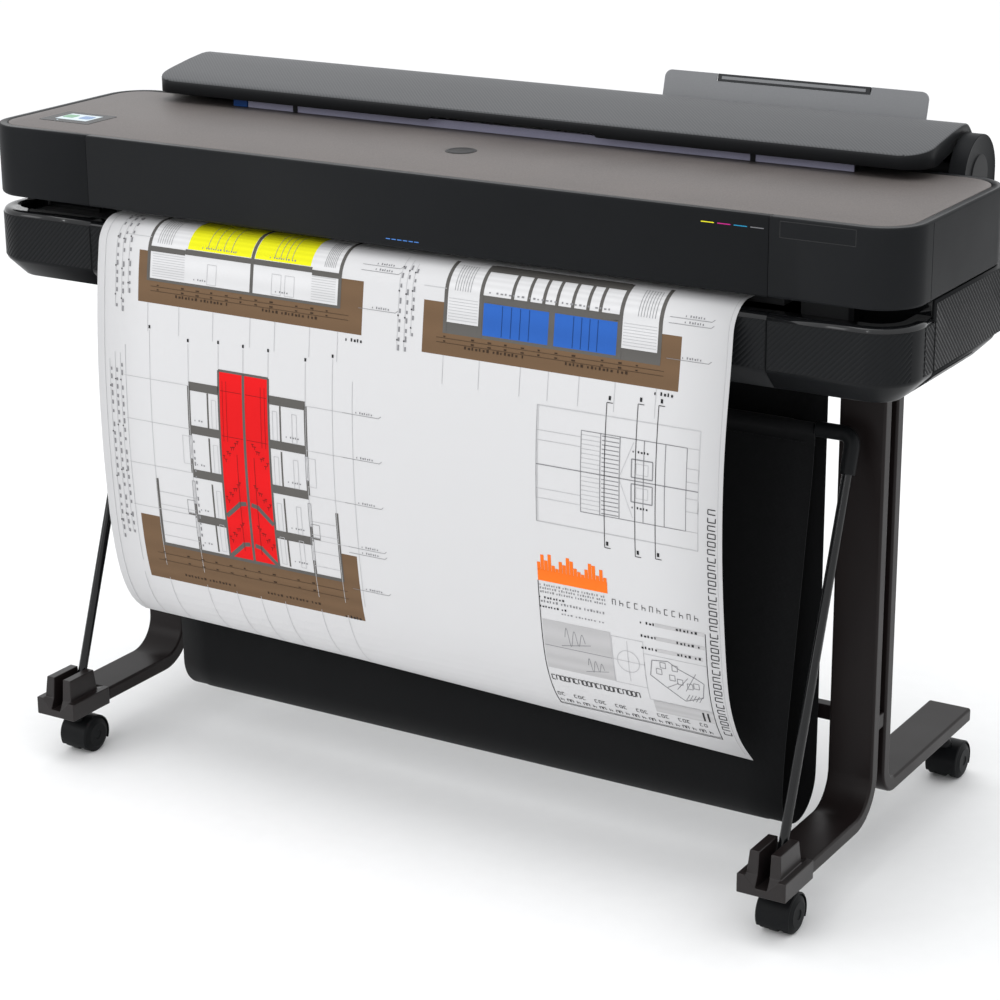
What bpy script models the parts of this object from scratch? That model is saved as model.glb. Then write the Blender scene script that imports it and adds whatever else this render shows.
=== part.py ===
"""A large format roll plotter on a wheeled stand, with its print catcher. Metres, +Z up, front towards -Y."""

import math

import bmesh
import bpy
from mathutils import Matrix, Vector

# Overall size
WIDTH, DEPTH, HEIGHT = 1.317, 0.605, 0.932
HALF_WIDTH, HALF_DEPTH = WIDTH / 2, DEPTH / 2

# Casings
BODY_FRONT, BODY_BACK = -0.234, 0.085
UPPER_BOTTOM, UPPER_TOP = 0.770, 0.863
LOWER_BOTTOM, LIP_TOP = 0.658, 0.751
CORNER = 0.055
CHAMFER = 0.026
WALL = 0.0035
RIM = 0.012
LIP_DEPTH = 0.022
SEAM_LEFT, SEAM_RIGHT = -0.4825, 0.4915
SEAM = 0.001
GAP = 0.0005
SLOT_END_Y = -0.150
DOOR_BACK = -0.185
REAR_STRIP_Y = 0.060
CENTRE_X = (SEAM_LEFT + SEAM, SEAM_RIGHT - SEAM)

# Limits just outside the casings, for cutters
OUTER = HALF_WIDTH + 0.01
FRONT, BACK = BODY_FRONT - 0.01, BODY_BACK + 0.01

# Stand
LEG_X, LEG_WIDTH, BAR = 0.534, 0.060, 0.019
FRONT_LEG_Y, REAR_LEG_Y = -0.0455, -0.0085
FRONT_FOOT_Z, REAR_FOOT_Z = 0.079, 0.094
FRONT_BEND, REAR_BEND = 0.052, 0.030
CAP_LENGTH, CAP_BOTTOM, CAP_FLANGE_TOP, CAP_TOP = 0.0775, 0.0665, 0.091, 0.120
ROD_SLOT = 0.015
REAR_FOOT_END = 0.2745
BRACE_Z, BRACE_HEIGHT = 0.195, 0.020

# Casters
WHEEL_RADIUS, WHEEL_WIDTH, WHEEL_TRAIL = 0.0245, 0.015, 0.014
CASTER_HALF_WIDTH = 0.0225
HOOD_RADIUS = 0.0275
AXLE_RADIUS, AXLE_PLAY = 0.0030, 0.00005
FRONT_CASTER_Y = -0.2585
REAR_CASTER_Y = HALF_DEPTH - HOOD_RADIUS - WHEEL_TRAIL

# Print catcher
ROD_RADIUS = 0.006
ROD_FOOT = Vector((LEG_X, -0.252, 0.086))
ROD_TOP = Vector((LEG_X, -0.078, 0.575))
ELBOW_RADIUS = 0.0095
ELBOW_REACH = 0.048
CLOTH_HALF_WIDTH, CLOTH_THICKNESS = 0.484, 0.0014
CLOTH_BACK_Y = -0.043
REAR_BAR_Z = 0.640

# Roll and its cover
ROLL_Y, ROLL_Z, ROLL_RADIUS = 0.138, 0.852, 0.036
MEDIA_WIDTH = 0.914
CORE_RADIUS = 0.0255
COVER_HALF_WIDTH = 0.569
COVER_LIP_Y, COVER_LIP_TOP, COVER_LIP_BOTTOM = 0.0165, 0.8936, 0.8755
COVER_CREST_Y, COVER_CREST_Z = 0.1395, 0.9123
COVER_PIVOT = Vector((0.0, 0.190, 0.835))
COVER_WALL = 0.003
BRACKET_THICKNESS, BRACKET_RADIUS = 0.022, 0.050
SPINDLE_RADIUS, SPINDLE_PIN, PIN_PLAY = 0.0125, 0.006, 0.0003

# Sheet tray
TRAY_LEFT, TRAY_RIGHT = 0.122, 0.490
TRAY_FOOT = Vector((0.0, 0.2015, 0.866))
TRAY_LEAN = math.radians(15)
TRAY_THICKNESS = 0.004

# Rear housing and the way through it for the media
HOUSING_HALF_WIDTH, HOUSING_BACK, HOUSING_BOTTOM, HOUSING_TOP = 0.606, 0.205, 0.668, 0.828
WEB_SLOT_TOP = 0.840

# Paper path
PAPER_Z, PAPER_THICKNESS = 0.7606, 0.0006
FEED_Y, FEED_RADIUS, PINCH_RADIUS = -0.020, 0.012, 0.006

# Carriage and its drive
RAIL_Y, RAIL_Z, RAIL_RADIUS = -0.120, 0.835, 0.0070
RAIL_PLAY = 0.00006
CARRIAGE_X, CARRIAGE_WIDTH = 0.520, 0.090
BELT_Y, BELT_Z, BELT_HEIGHT = -0.045, 0.8420, 0.006
PULLEY_RADIUS, PULLEY_X = 0.0085, 0.615

BLACK, DARK, BROWN = (0.016, 0.017, 0.018), (0.045, 0.047, 0.048), (0.043, 0.034, 0.031)
TAUPE, STEEL, WHITE = (0.19, 0.165, 0.15), (0.45, 0.45, 0.46), (0.82, 0.82, 0.83)
BLUE, LAVENDER, CLOTH = (0.02, 0.10, 0.45), (0.33, 0.32, 0.42), (0.010, 0.011, 0.012)
GREEN, GREY = (0.02, 0.12, 0.05), (0.20, 0.20, 0.20)


def clear_scene():
    for item in list(bpy.data.objects):
        bpy.data.objects.remove(item)


def new_collection(name):
    made = bpy.data.collections.new(name)
    bpy.context.scene.collection.children.link(made)
    return made


clear_scene()
PARTS = new_collection("large_format_plotter")
CUTTERS = new_collection("cutters")


def material(name, colour, roughness=0.5, metallic=0.0):
    made = bpy.data.materials.new(name)
    made.use_nodes = True
    shader = made.node_tree.nodes["Principled BSDF"]
    shader.inputs["Base Color"].default_value = (*colour, 1.0)
    shader.inputs["Roughness"].default_value = roughness
    shader.inputs["Metallic"].default_value = metallic
    return made


def add(name, bm, colour, roughness=0.5, metallic=0.0, origin=(0, 0, 0), smooth=True):
    """Makes a bmesh drawn in world coordinates into a named part whose origin is at the given point."""
    mesh = bpy.data.meshes.new(name)
    bmesh.ops.translate(bm, verts=bm.verts, vec=-Vector(origin))
    bm.to_mesh(mesh)
    bm.free()
    if smooth:
        mesh.shade_smooth()
        mesh.set_sharp_from_angle(angle=math.radians(35))
    part = bpy.data.objects.new(name, mesh)
    part.location = origin
    PARTS.objects.link(part)
    mesh.materials.append(material(name, colour, roughness, metallic))
    return part


def as_cutter(part):
    PARTS.objects.unlink(part)
    CUTTERS.objects.link(part)
    part.hide_render = True
    part.display_type = "WIRE"
    return part


def boolean(part, other, operation="DIFFERENCE"):
    change = part.modifiers.new(operation.title(), "BOOLEAN")
    change.operation = operation
    change.object = other
    return part


def solidify(part, thickness, offset=-1.0):
    wall = part.modifiers.new("Wall", "SOLIDIFY")
    wall.thickness = thickness
    wall.offset = offset
    wall.use_even_offset = True
    return part


def round_edges(part, width, segments=2):
    edge = part.modifiers.new("Rounded", "BEVEL")
    edge.width = width
    edge.segments = segments
    edge.limit_method = "ANGLE"
    edge.angle_limit = math.radians(50)
    return part


def box_mesh(x, y, z):
    bm = bmesh.new()
    size = (x[1] - x[0], y[1] - y[0], z[1] - z[0])
    centre = ((x[0] + x[1]) / 2, (y[0] + y[1]) / 2, (z[0] + z[1]) / 2)
    bmesh.ops.create_cube(bm, size=1.0, matrix=Matrix.Translation(centre) @ Matrix.Diagonal((*size, 1.0)))
    return bm


def box(name, x, y, z, colour, bevel=0.0, **finish):
    part = add(name, box_mesh(x, y, z), colour, **finish)
    if bevel:
        round_edges(part, bevel)
    return part


def rod_mesh(start, end, radius, sides=24, bm=None):
    bm = bm or bmesh.new()
    start, end = Vector(start), Vector(end)
    turn = Vector((0, 0, 1)).rotation_difference(end - start).to_matrix().to_4x4()
    place = Matrix.Translation((start + end) / 2) @ turn
    bmesh.ops.create_cone(
        bm, cap_ends=True, segments=sides, radius1=radius, radius2=radius,
        depth=(end - start).length, matrix=place,
    )
    return bm


def rod(name, start, end, radius, colour, sides=24, **finish):
    return add(name, rod_mesh(start, end, radius, sides), colour, **finish)


def cutter_box(x, y, z):
    return as_cutter(add("cut_box", box_mesh(x, y, z), GREY))


def cutter_rod(start, end, radius, sides=24):
    return as_cutter(add("cut_rod", rod_mesh(start, end, radius, sides), GREY))


def arc(centre, radius, start, end, steps):
    """Points (y, z) from one angle to another, in degrees, counted from +Y towards +Z."""
    turns = [math.radians(start + (end - start) * i / steps) for i in range(steps + 1)]
    return [(centre[0] + radius * math.cos(t), centre[1] + radius * math.sin(t)) for t in turns]


def strip_mesh(path, x, closed=False):
    """An open surface: a path of (y, z) points swept along X."""
    bm = bmesh.new()
    row = [bm.verts.new((x[0], y, z)) for y, z in path]
    pairs = list(zip(row, row[1:])) + ([(row[-1], row[0])] if closed else [])
    edges = [bm.edges.new(pair) for pair in pairs]
    swept = bmesh.ops.extrude_edge_only(bm, edges=edges)["geom"]
    moved = [item for item in swept if isinstance(item, bmesh.types.BMVert)]
    bmesh.ops.translate(bm, verts=moved, vec=(x[1] - x[0], 0, 0))
    return bm


def strip(name, path, x, thickness, colour, offset=0.0, closed=False, **finish):
    return solidify(add(name, strip_mesh(path, x, closed), colour, **finish), thickness, offset)


def plate(name, outline, x, colour, **finish):
    """A solid plate: an outline of (y, z) points extruded along X."""
    bm = bmesh.new()
    face = bm.faces.new([bm.verts.new((x[0], y, z)) for y, z in outline])
    swept = bmesh.ops.extrude_face_region(bm, geom=[face])["geom"]
    moved = [item for item in swept if isinstance(item, bmesh.types.BMVert)]
    bmesh.ops.translate(bm, verts=moved, vec=(x[1] - x[0], 0, 0))
    bmesh.ops.recalc_face_normals(bm, faces=bm.faces)
    return add(name, bm, colour, **finish)


def facing(bm, direction):
    return [face for face in bm.faces if face.normal.dot(Vector(direction)) > 0.99]


def slab_mesh(x, y, z, corner, segments=6):
    """A box with rounded upright edges."""
    bm = box_mesh(x, y, z)
    upright = [e for e in bm.edges if abs((e.verts[0].co - e.verts[1].co).normalized().z) > 0.99]
    bmesh.ops.bevel(
        bm, geom=upright, offset=corner, segments=segments, affect="EDGES", profile=0.5, material=-1
    )
    return bm


def chamfer_face(bm, direction, offset, segments=1):
    rim = [edge for face in facing(bm, direction) for edge in face.edges]
    bmesh.ops.bevel(bm, geom=rim, offset=offset, segments=segments, affect="EDGES", profile=0.5, material=-1)


def open_face(bm, direction, rim=0.0):
    """Takes the middle of a face away and leaves a rim of the given width."""
    faces = facing(bm, direction)
    if rim:
        bmesh.ops.inset_region(bm, faces=faces, thickness=rim, use_even_offset=True)
    bmesh.ops.delete(bm, geom=faces, context="FACES")


def upper_shell(name, x, y):
    """The part of the upper casing that lies between the given limits."""
    bm = slab_mesh(
        (-HALF_WIDTH, HALF_WIDTH), (BODY_FRONT, BODY_BACK), (UPPER_BOTTOM, UPPER_TOP), CORNER
    )
    open_face(bm, (0, 0, -1))
    open_face(bm, (0, 0, 1), RIM)
    part = solidify(add(name, bm, BLACK, roughness=0.35), WALL)
    return boolean(part, cutter_box(x, y, (UPPER_BOTTOM - 0.01, UPPER_TOP + 0.01)), "INTERSECT")


def lower_shell(name, x, y, side_wall=False):
    """The part of the lower casing between the limits. With a side wall it rises to meet the upper casing."""
    top = UPPER_BOTTOM - GAP if side_wall else LIP_TOP
    bm = slab_mesh(
        (-HALF_WIDTH + GAP, HALF_WIDTH - GAP), (BODY_FRONT, BODY_BACK), (LOWER_BOTTOM, top), CORNER
    )
    chamfer_face(bm, (0, 0, -1), CHAMFER)
    if side_wall:
        open_face(bm, (0, 0, 1))
    else:
        chamfer_face(bm, (0, 0, 1), 0.005, 2)
        open_face(bm, (0, 0, 1), LIP_DEPTH)
    part = solidify(add(name, bm, BLACK, roughness=0.45), WALL)
    if side_wall:
        boolean(part, cutter_box((-OUTER, OUTER), (FRONT, SLOT_END_Y), (LIP_TOP, UPPER_TOP)))
    return boolean(part, cutter_box(x, y, (LOWER_BOTTOM - 0.01, UPPER_BOTTOM + 0.01)), "INTERSECT")


def make_casings():
    upper_shell("upper_left_cover", (-OUTER, SEAM_LEFT), (FRONT, BACK))
    upper_shell("upper_right_cover", (SEAM_RIGHT, OUTER), (FRONT, BACK))
    front_edge = (0, BODY_FRONT + RIM, UPPER_TOP)
    front_cover = upper_shell("front_cover", CENTRE_X, (FRONT, BODY_FRONT + RIM + 0.001))
    move_origin(front_cover, front_edge)
    boolean(upper_shell("rear_bridge", CENTRE_X, (REAR_STRIP_Y, BACK)), web_slot())
    door = lower_shell("ink_door", (-OUTER, SEAM_LEFT), (FRONT, DOOR_BACK - SEAM))
    move_origin(door, (0, DOOR_BACK - SEAM, LOWER_BOTTOM))
    lower_shell("lower_left_cover", (-OUTER, SEAM_LEFT), (DOOR_BACK, BACK), side_wall=True)
    lower_shell("lower_front_cover", CENTRE_X, (FRONT, BACK))
    lower_shell("lower_right_cover", (SEAM_RIGHT, OUTER), (FRONT, BACK), side_wall=True)


def web_slot():
    """The way through the walls behind the platen for the media on its way from the roll."""
    half = MEDIA_WIDTH / 2 + 0.009
    y, z = (BODY_BACK - 0.010, BODY_BACK + 0.010), (UPPER_BOTTOM - 0.001, WEB_SLOT_TOP)
    return cutter_box((-half, half), y, z)


def move_origin(part, point):
    part.data.transform(Matrix.Translation(-Vector(point)))
    part.location = Vector(part.location) + Vector(point)


def make_top():
    inset = RIM + 0.0006
    bm = slab_mesh(
        (-HALF_WIDTH + inset, HALF_WIDTH - inset), (BODY_FRONT + inset, BODY_BACK - inset),
        (UPPER_TOP - WALL, UPPER_TOP), CORNER - RIM,
    )
    top = add("top_plate", bm, TAUPE, roughness=0.55)
    screen_x, screen_y = (-0.614, -0.529), (-0.172, -0.107)
    boolean(top, cutter_box(screen_x, screen_y, (UPPER_TOP - 0.01, UPPER_TOP + 0.01)))
    box(
        "touch_screen", (screen_x[0] + GAP, screen_x[1] - GAP), (screen_y[0] + GAP, screen_y[1] - GAP),
        (UPPER_TOP - 0.008, UPPER_TOP + 0.0004), BLACK, roughness=0.1,
    )


def make_rear_housing():
    bm = slab_mesh(
        (-HOUSING_HALF_WIDTH, HOUSING_HALF_WIDTH), (BODY_BACK + 0.001, HOUSING_BACK),
        (HOUSING_BOTTOM, HOUSING_TOP), 0.020, 3,
    )
    chamfer_face(bm, (0, 0, -1), 0.015)
    open_face(bm, (0, 0, 1))
    housing = solidify(add("rear_housing", bm, BLACK, roughness=0.45), 0.003)
    boolean(housing, web_slot())
    boolean(housing, cutter_box((0.500, 0.532), (0.190, 0.215), (0.700, 0.724)))
    boolean(housing, cutter_box((0.540, 0.556), (0.190, 0.215), (0.706, 0.718)))
    box(
        "power_inlet", (0.5005, 0.5315), (0.180, 0.2055), (0.7005, 0.7235), DARK, roughness=0.5,
        smooth=False,
    )
    box(
        "power_button", (0.5405, 0.5555), (0.1985, 0.2070), (0.7065, 0.7175), DARK, roughness=0.4,
        origin=(0.548, 0.207, 0.712),
    )
    socket = cutter_box((0.505, 0.527), (0.188, 0.215), (0.704, 0.720))
    boolean(bpy.data.objects["power_inlet"], socket)


def leg_path(y, foot_z, bend, end_y):
    """The middle of a leg's bent bar, from its top down round the bend and out along the foot."""
    way = 1 if end_y > y else -1
    centre = (y + way * bend, foot_z + bend)
    curve = [(centre[0] - way * bend * math.cos(a), centre[1] - bend * math.sin(a)) for a in quarter(8)]
    return [(y, LOWER_BOTTOM - GAP)] + curve + [(end_y, foot_z)]


def quarter(steps):
    return [math.pi / 2 * i / steps for i in range(steps + 1)]


def make_stand():
    for side, name in ((-1, "left"), (1, "right")):
        x = side * LEG_X
        span = (x - LEG_WIDTH / 2, x + LEG_WIDTH / 2)
        front = leg_path(FRONT_LEG_Y, FRONT_FOOT_Z, FRONT_BEND, -HALF_DEPTH + CAP_LENGTH + GAP)
        rear = leg_path(REAR_LEG_Y, REAR_FOOT_Z, REAR_BEND, REAR_FOOT_END)
        for node, path in (("front_leg", front), ("rear_leg", rear)):
            leg = strip(f"{name}_{node}", path, span, BAR, BROWN, roughness=0.35, metallic=0.5)
            round_edges(leg, 0.0025)
        make_foot_cap(name, x)
    gap_front, gap_back = FRONT_LEG_Y + BAR / 2 + GAP, REAR_LEG_Y - BAR / 2 - GAP
    reach = LEG_X + LEG_WIDTH / 2 - 0.002
    box(
        "cross_brace", (-reach, reach), (gap_front, gap_back),
        (BRACE_Z - BRACE_HEIGHT / 2, BRACE_Z + BRACE_HEIGHT / 2), BROWN, bevel=0.0015,
        roughness=0.35, metallic=0.5,
    )


def make_foot_cap(side, x):
    """A moulded foot end: a flange, and two uprights with the catcher rod's slot between them."""
    front, back = -HALF_DEPTH, -HALF_DEPTH + CAP_LENGTH
    cap = box(
        f"{side}_foot_cap", (x - 0.032, x + 0.032), (front, back), (CAP_BOTTOM, CAP_FLANGE_TOP), BROWN,
        roughness=0.4, smooth=False,
    )
    bm = box_mesh((x - 0.022, x + 0.022), (front + 0.008, back - 0.015), (CAP_BOTTOM + 0.002, CAP_TOP))
    bmesh.ops.bevel(
        bm, geom=[e for f in facing(bm, (0, 0, 1)) for e in f.edges], offset=0.003, segments=2,
        affect="EDGES", profile=0.5, material=-1,
    )
    boolean(cap, as_cutter(add("cut_uprights", bm, GREY)), "UNION")
    half = ROD_SLOT / 2
    boolean(cap, cutter_box((x - half, x + half), (front - 0.01, back + 0.01), (ROD_FOOT.z - 0.010, 0.2)))


def make_caster(name, x, axis_y, top):
    """A twin-wheel caster: a hood that swivels on its stem, and two wheels on one axle behind the stem."""
    wheel_y = axis_y + WHEEL_TRAIL
    half = CASTER_HALF_WIDTH
    hub = Vector((x, wheel_y, WHEEL_RADIUS))
    ends = (hub - Vector((half, 0, 0)), hub + Vector((half, 0, 0)))
    hood = rod(f"{name}_caster_hood", *ends, HOOD_RADIUS, BLACK, 28, roughness=0.4, origin=(x, axis_y, 0))
    for side in (-1, 1):
        inner = half - WHEEL_WIDTH - 0.001
        recess = (hub + Vector((side * inner, 0, 0)), hub + Vector((side * (half + 0.01), 0, 0)))
        boolean(hood, cutter_rod(*recess, WHEEL_RADIUS + 0.001, 28))
    boolean(hood, cutter_box((x - 0.1, x + 0.1), (wheel_y - 0.1, wheel_y + 0.1), (-0.1, 0.0155)))
    bm = rod_mesh((x, axis_y, WHEEL_RADIUS + 0.012), (x, axis_y, top - GAP), 0.0062, 16)
    boolean(hood, as_cutter(add("cut_stem", bm, GREY)), "UNION")
    boolean(hood, cutter_rod(*ends, AXLE_RADIUS + AXLE_PLAY, 16))
    wheels = rod(f"{name}_caster_wheels", *ends, AXLE_RADIUS, BLACK, 16, roughness=0.5, origin=hub)
    for side in (-1, 1):
        outer, inner = hub + Vector((side * half, 0, 0)), hub + Vector((side * (half - WHEEL_WIDTH), 0, 0))
        disc = as_cutter(rod("cut_wheel", inner, outer, WHEEL_RADIUS, GREY, 24))
        boolean(wheels, round_edges(disc, 0.003, 1), "UNION")


def make_casters():
    for side, name in ((-1, "left"), (1, "right")):
        make_caster(f"front_{name}", side * LEG_X, FRONT_CASTER_Y, CAP_BOTTOM)
        make_caster(f"rear_{name}", side * LEG_X, REAR_CASTER_Y, REAR_FOOT_Z - BAR / 2)


def make_catcher_frame():
    """Two leaning rods joined at the top by elbows to a bar that carries the cloth."""
    lean = (ROD_TOP - ROD_FOOT).normalized()
    for side, name in ((-1, "left"), (1, "right")):
        flip = Vector((side, 1, 1))
        foot, top = ROD_FOOT * flip, ROD_TOP * flip
        way = lean * flip
        upper = top - way * (ELBOW_REACH + GAP)
        rod(f"{name}_catcher_rod", foot, upper, ROD_RADIUS, BLACK, 16, roughness=0.3, origin=foot)
        elbow = rod(
            f"{name}_elbow", top - way * ELBOW_REACH, top + way * 0.001, ELBOW_RADIUS, BLACK, 16,
            roughness=0.4, origin=foot,
        )
        inward = top - Vector((side * ELBOW_REACH, 0, 0))
        boolean(elbow, as_cutter(rod("cut_arm", top, inward, ELBOW_RADIUS, GREY, 16)), "UNION")
        ball = bmesh.new()
        bmesh.ops.create_uvsphere(
            ball, u_segments=16, v_segments=8, radius=ELBOW_RADIUS * 1.04, matrix=Matrix.Translation(top)
        )
        boolean(elbow, as_cutter(add("cut_ball", ball, GREY)), "UNION")
    reach = LEG_X - ELBOW_REACH - GAP
    rod(
        "catcher_front_bar", (-reach, ROD_TOP.y, ROD_TOP.z), (reach, ROD_TOP.y, ROD_TOP.z), ROD_RADIUS,
        BLACK, 16, roughness=0.3, origin=(0, ROD_FOOT.y, ROD_FOOT.z),
    )
    rod(
        "catcher_rear_bar", (-0.500, -0.026, REAR_BAR_Z), (0.500, -0.026, REAR_BAR_Z), ROD_RADIUS, BLACK, 16,
        roughness=0.3,
    )


def catcher_profile():
    """The hanging cloth in section: down from the front bar, round a slack belly, and up the back."""
    front_top = (ROD_TOP.y - 0.001, ROD_TOP.z - ROD_RADIUS - 0.003)
    belly = arc((-0.094, 0.118), 0.050, 180, 360, 8)
    return [front_top, (-0.096, 0.450), (-0.124, 0.280), (-0.140, 0.180)] + belly + [
        (CLOTH_BACK_Y, 0.250), (CLOTH_BACK_Y, 0.450), (CLOTH_BACK_Y, REAR_BAR_Z + 0.008)
    ]


def make_catcher_cloth():
    span = (-CLOTH_HALF_WIDTH, CLOTH_HALF_WIDTH)
    strip("catcher_cloth", catcher_profile(), span, CLOTH_THICKNESS, CLOTH, roughness=0.9)


def make_roll():
    half = MEDIA_WIDTH / 2
    centre = Vector((0, ROLL_Y, ROLL_Z))
    along = Vector((1, 0, 0))
    body = COVER_HALF_WIDTH - 0.006
    spindle = rod("roll_spindle", centre - along * body, centre + along * body, SPINDLE_RADIUS, DARK,
                  roughness=0.4, origin=centre)
    pins = COVER_HALF_WIDTH + 0.012
    axle = rod("cut_pin", centre - along * pins, centre + along * pins, SPINDLE_PIN, GREY, 16)
    boolean(spindle, as_cutter(axle), "UNION")
    paper = rod("paper_roll", centre - along * half, centre + along * half, ROLL_RADIUS, WHITE, 40,
                roughness=0.8, origin=centre)
    boolean(paper, cutter_rod(centre - along * 0.6, centre + along * 0.6, CORE_RADIUS, 32))
    for side, name in ((-1, "left"), (1, "right")):
        inner, outer = centre + along * side * (half + GAP), centre + along * side * (half + 0.008)
        disc = rod(f"{name}_roll_flange", inner, outer, ROLL_RADIUS + 0.002, BLUE, 32, roughness=0.4,
                   origin=centre)
        hub = rod("cut_hub", outer - along * side * 0.040, outer, CORE_RADIUS - 0.0005, GREY, 32)
        boolean(disc, as_cutter(hub), "UNION")
        boolean(disc, cutter_rod(centre - along * 0.6, centre + along * 0.6, SPINDLE_RADIUS + 0.0003, 32))
        make_roll_bracket(name, side)


def make_roll_bracket(name, side):
    """An upright with an arched top, which carries one end of the spindle in a blind hole."""
    inner = side * (COVER_HALF_WIDTH + 0.001)
    outer = inner + side * BRACKET_THICKNESS
    arch = arc((ROLL_Y, ROLL_Z), BRACKET_RADIUS, 180, 0, 16)
    outline = arch + [(ROLL_Y + BRACKET_RADIUS, 0.740), (ROLL_Y - 0.042, 0.740), (ROLL_Y - 0.042, 0.800)]
    bracket = plate(f"{name}_roll_bracket", outline, sorted((inner, outer)), BLACK, roughness=0.35)
    round_edges(bracket, 0.002)
    hole = (inner - side * 0.01, ROLL_Y, ROLL_Z), (inner + side * 0.014, ROLL_Y, ROLL_Z)
    boolean(bracket, cutter_rod(*hole, SPINDLE_PIN + PIN_PLAY, 32))


def cover_profile():
    """The roll cover's outer face in section: lip, gentle rise to the crest, then the back slope."""
    return [
        (COVER_LIP_Y, COVER_LIP_BOTTOM), (COVER_LIP_Y, COVER_LIP_TOP - 0.004),
        (COVER_LIP_Y + 0.003, COVER_LIP_TOP - 0.0005), (0.060, 0.9022), (0.100, 0.9085),
        (COVER_CREST_Y, COVER_CREST_Z), (0.152, 0.9105), (0.190, 0.8740), (0.196, 0.8620), (0.196, 0.8400),
    ]


def make_roll_cover():
    bm = strip_mesh(cover_profile(), (-COVER_HALF_WIDTH, COVER_HALF_WIDTH))
    cover = solidify(add("roll_cover", bm, DARK, roughness=0.5), COVER_WALL)
    inner = [(0.0170, 0.8760), (0.0170, 0.8890), (0.060, 0.9000), (0.1395, 0.9100), (0.1515, 0.9080),
             (0.1515, 0.8955), (0.060, 0.8760)]
    for side in (-1, 1):
        x = sorted((side * COVER_HALF_WIDTH, side * (COVER_HALF_WIDTH - 0.003)))
        end = plate("cut_cover_end", inner, x, GREY)
        boolean(cover, as_cutter(end), "UNION")
    move_origin(cover, COVER_PIVOT)
    box("web_guide", (-0.4185, 0.4735), (0.033, 0.036), (UPPER_TOP + 0.0003, 0.8745), LAVENDER,
        roughness=0.4, smooth=False)


def tray_point(along, out=0.0):
    """A point (y, z) on the tray: along its slope from the hinge, and out from its front face."""
    y, z = math.sin(TRAY_LEAN), math.cos(TRAY_LEAN)
    return TRAY_FOOT.y + along * y - out * z, TRAY_FOOT.z + along * z + out * y


def tray_panel(name, x, low, high, front, back, colour, **finish):
    outline = [
        tray_point(low, front), tray_point(high, front), tray_point(high, -back), tray_point(low, -back)
    ]
    return plate(name, outline, x, colour, **finish)


def make_sheet_tray():
    half = TRAY_THICKNESS / 2
    length = (HEIGHT - TRAY_FOOT.z - half * math.sin(TRAY_LEAN)) / math.cos(TRAY_LEAN)
    tray = tray_panel(
        "sheet_tray", (TRAY_LEFT, TRAY_RIGHT), 0.004, length, half, half, DARK, roughness=0.45,
        origin=TRAY_FOOT,
    )
    round_corners(tray, 0.010)
    pocket = (0.197, 0.413)
    cut = tray_panel("cut_pocket", pocket, 0.012, length + 0.01, half + 0.01, 0.0006, GREY)
    boolean(tray, as_cutter(cut))
    tray_panel(
        "tray_extension", (pocket[0] + GAP, pocket[1] - GAP), 0.0130, length - 0.0010, half, -0.0002, DARK,
        roughness=0.3, origin=TRAY_FOOT,
    )


def round_corners(part, radius):
    """Rounds a thin panel's two upper corners, the edges that run through its thickness."""
    bm = bmesh.new()
    bm.from_mesh(part.data)
    top = max(v.co.z for v in bm.verts) - 0.004
    through = [
        e for e in bm.edges
        if min(v.co.z for v in e.verts) > top and abs((e.verts[0].co - e.verts[1].co).normalized().x) < 0.01
    ]
    bmesh.ops.bevel(bm, geom=through, offset=radius, segments=5, affect="EDGES", profile=0.5, material=-1)
    bm.to_mesh(part.data)
    bm.free()


def make_carriage():
    x = (CARRIAGE_X - CARRIAGE_WIDTH / 2, CARRIAGE_X + CARRIAGE_WIDTH / 2)
    centre = (CARRIAGE_X, RAIL_Y, RAIL_Z)
    rail = (-0.600, RAIL_Y, RAIL_Z), (0.600, RAIL_Y, RAIL_Z)
    rod("guide_rail", *rail, RAIL_RADIUS, STEEL, 24, roughness=0.2, metallic=1.0)
    carriage = box("carriage", x, (-0.170, -0.058), (0.790, 0.852), DARK, bevel=0.002, roughness=0.4,
                   origin=centre)
    boolean(carriage, cutter_rod((-0.7, RAIL_Y, RAIL_Z), (0.7, RAIL_Y, RAIL_Z), RAIL_RADIUS + RAIL_PLAY, 24))
    head = box("printhead", (x[0] + 0.010, x[1] - 0.010), (-0.160, -0.080), (0.7660, 0.7895), GREY,
               bevel=0.0015, roughness=0.4, origin=centre)
    head.data.materials[0].node_tree.nodes["Principled BSDF"].inputs["Metallic"].default_value = 0.4
    box("service_station", (0.500, 0.560), (-0.165, -0.075), (0.690, 0.7640), DARK, bevel=0.002)


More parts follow.
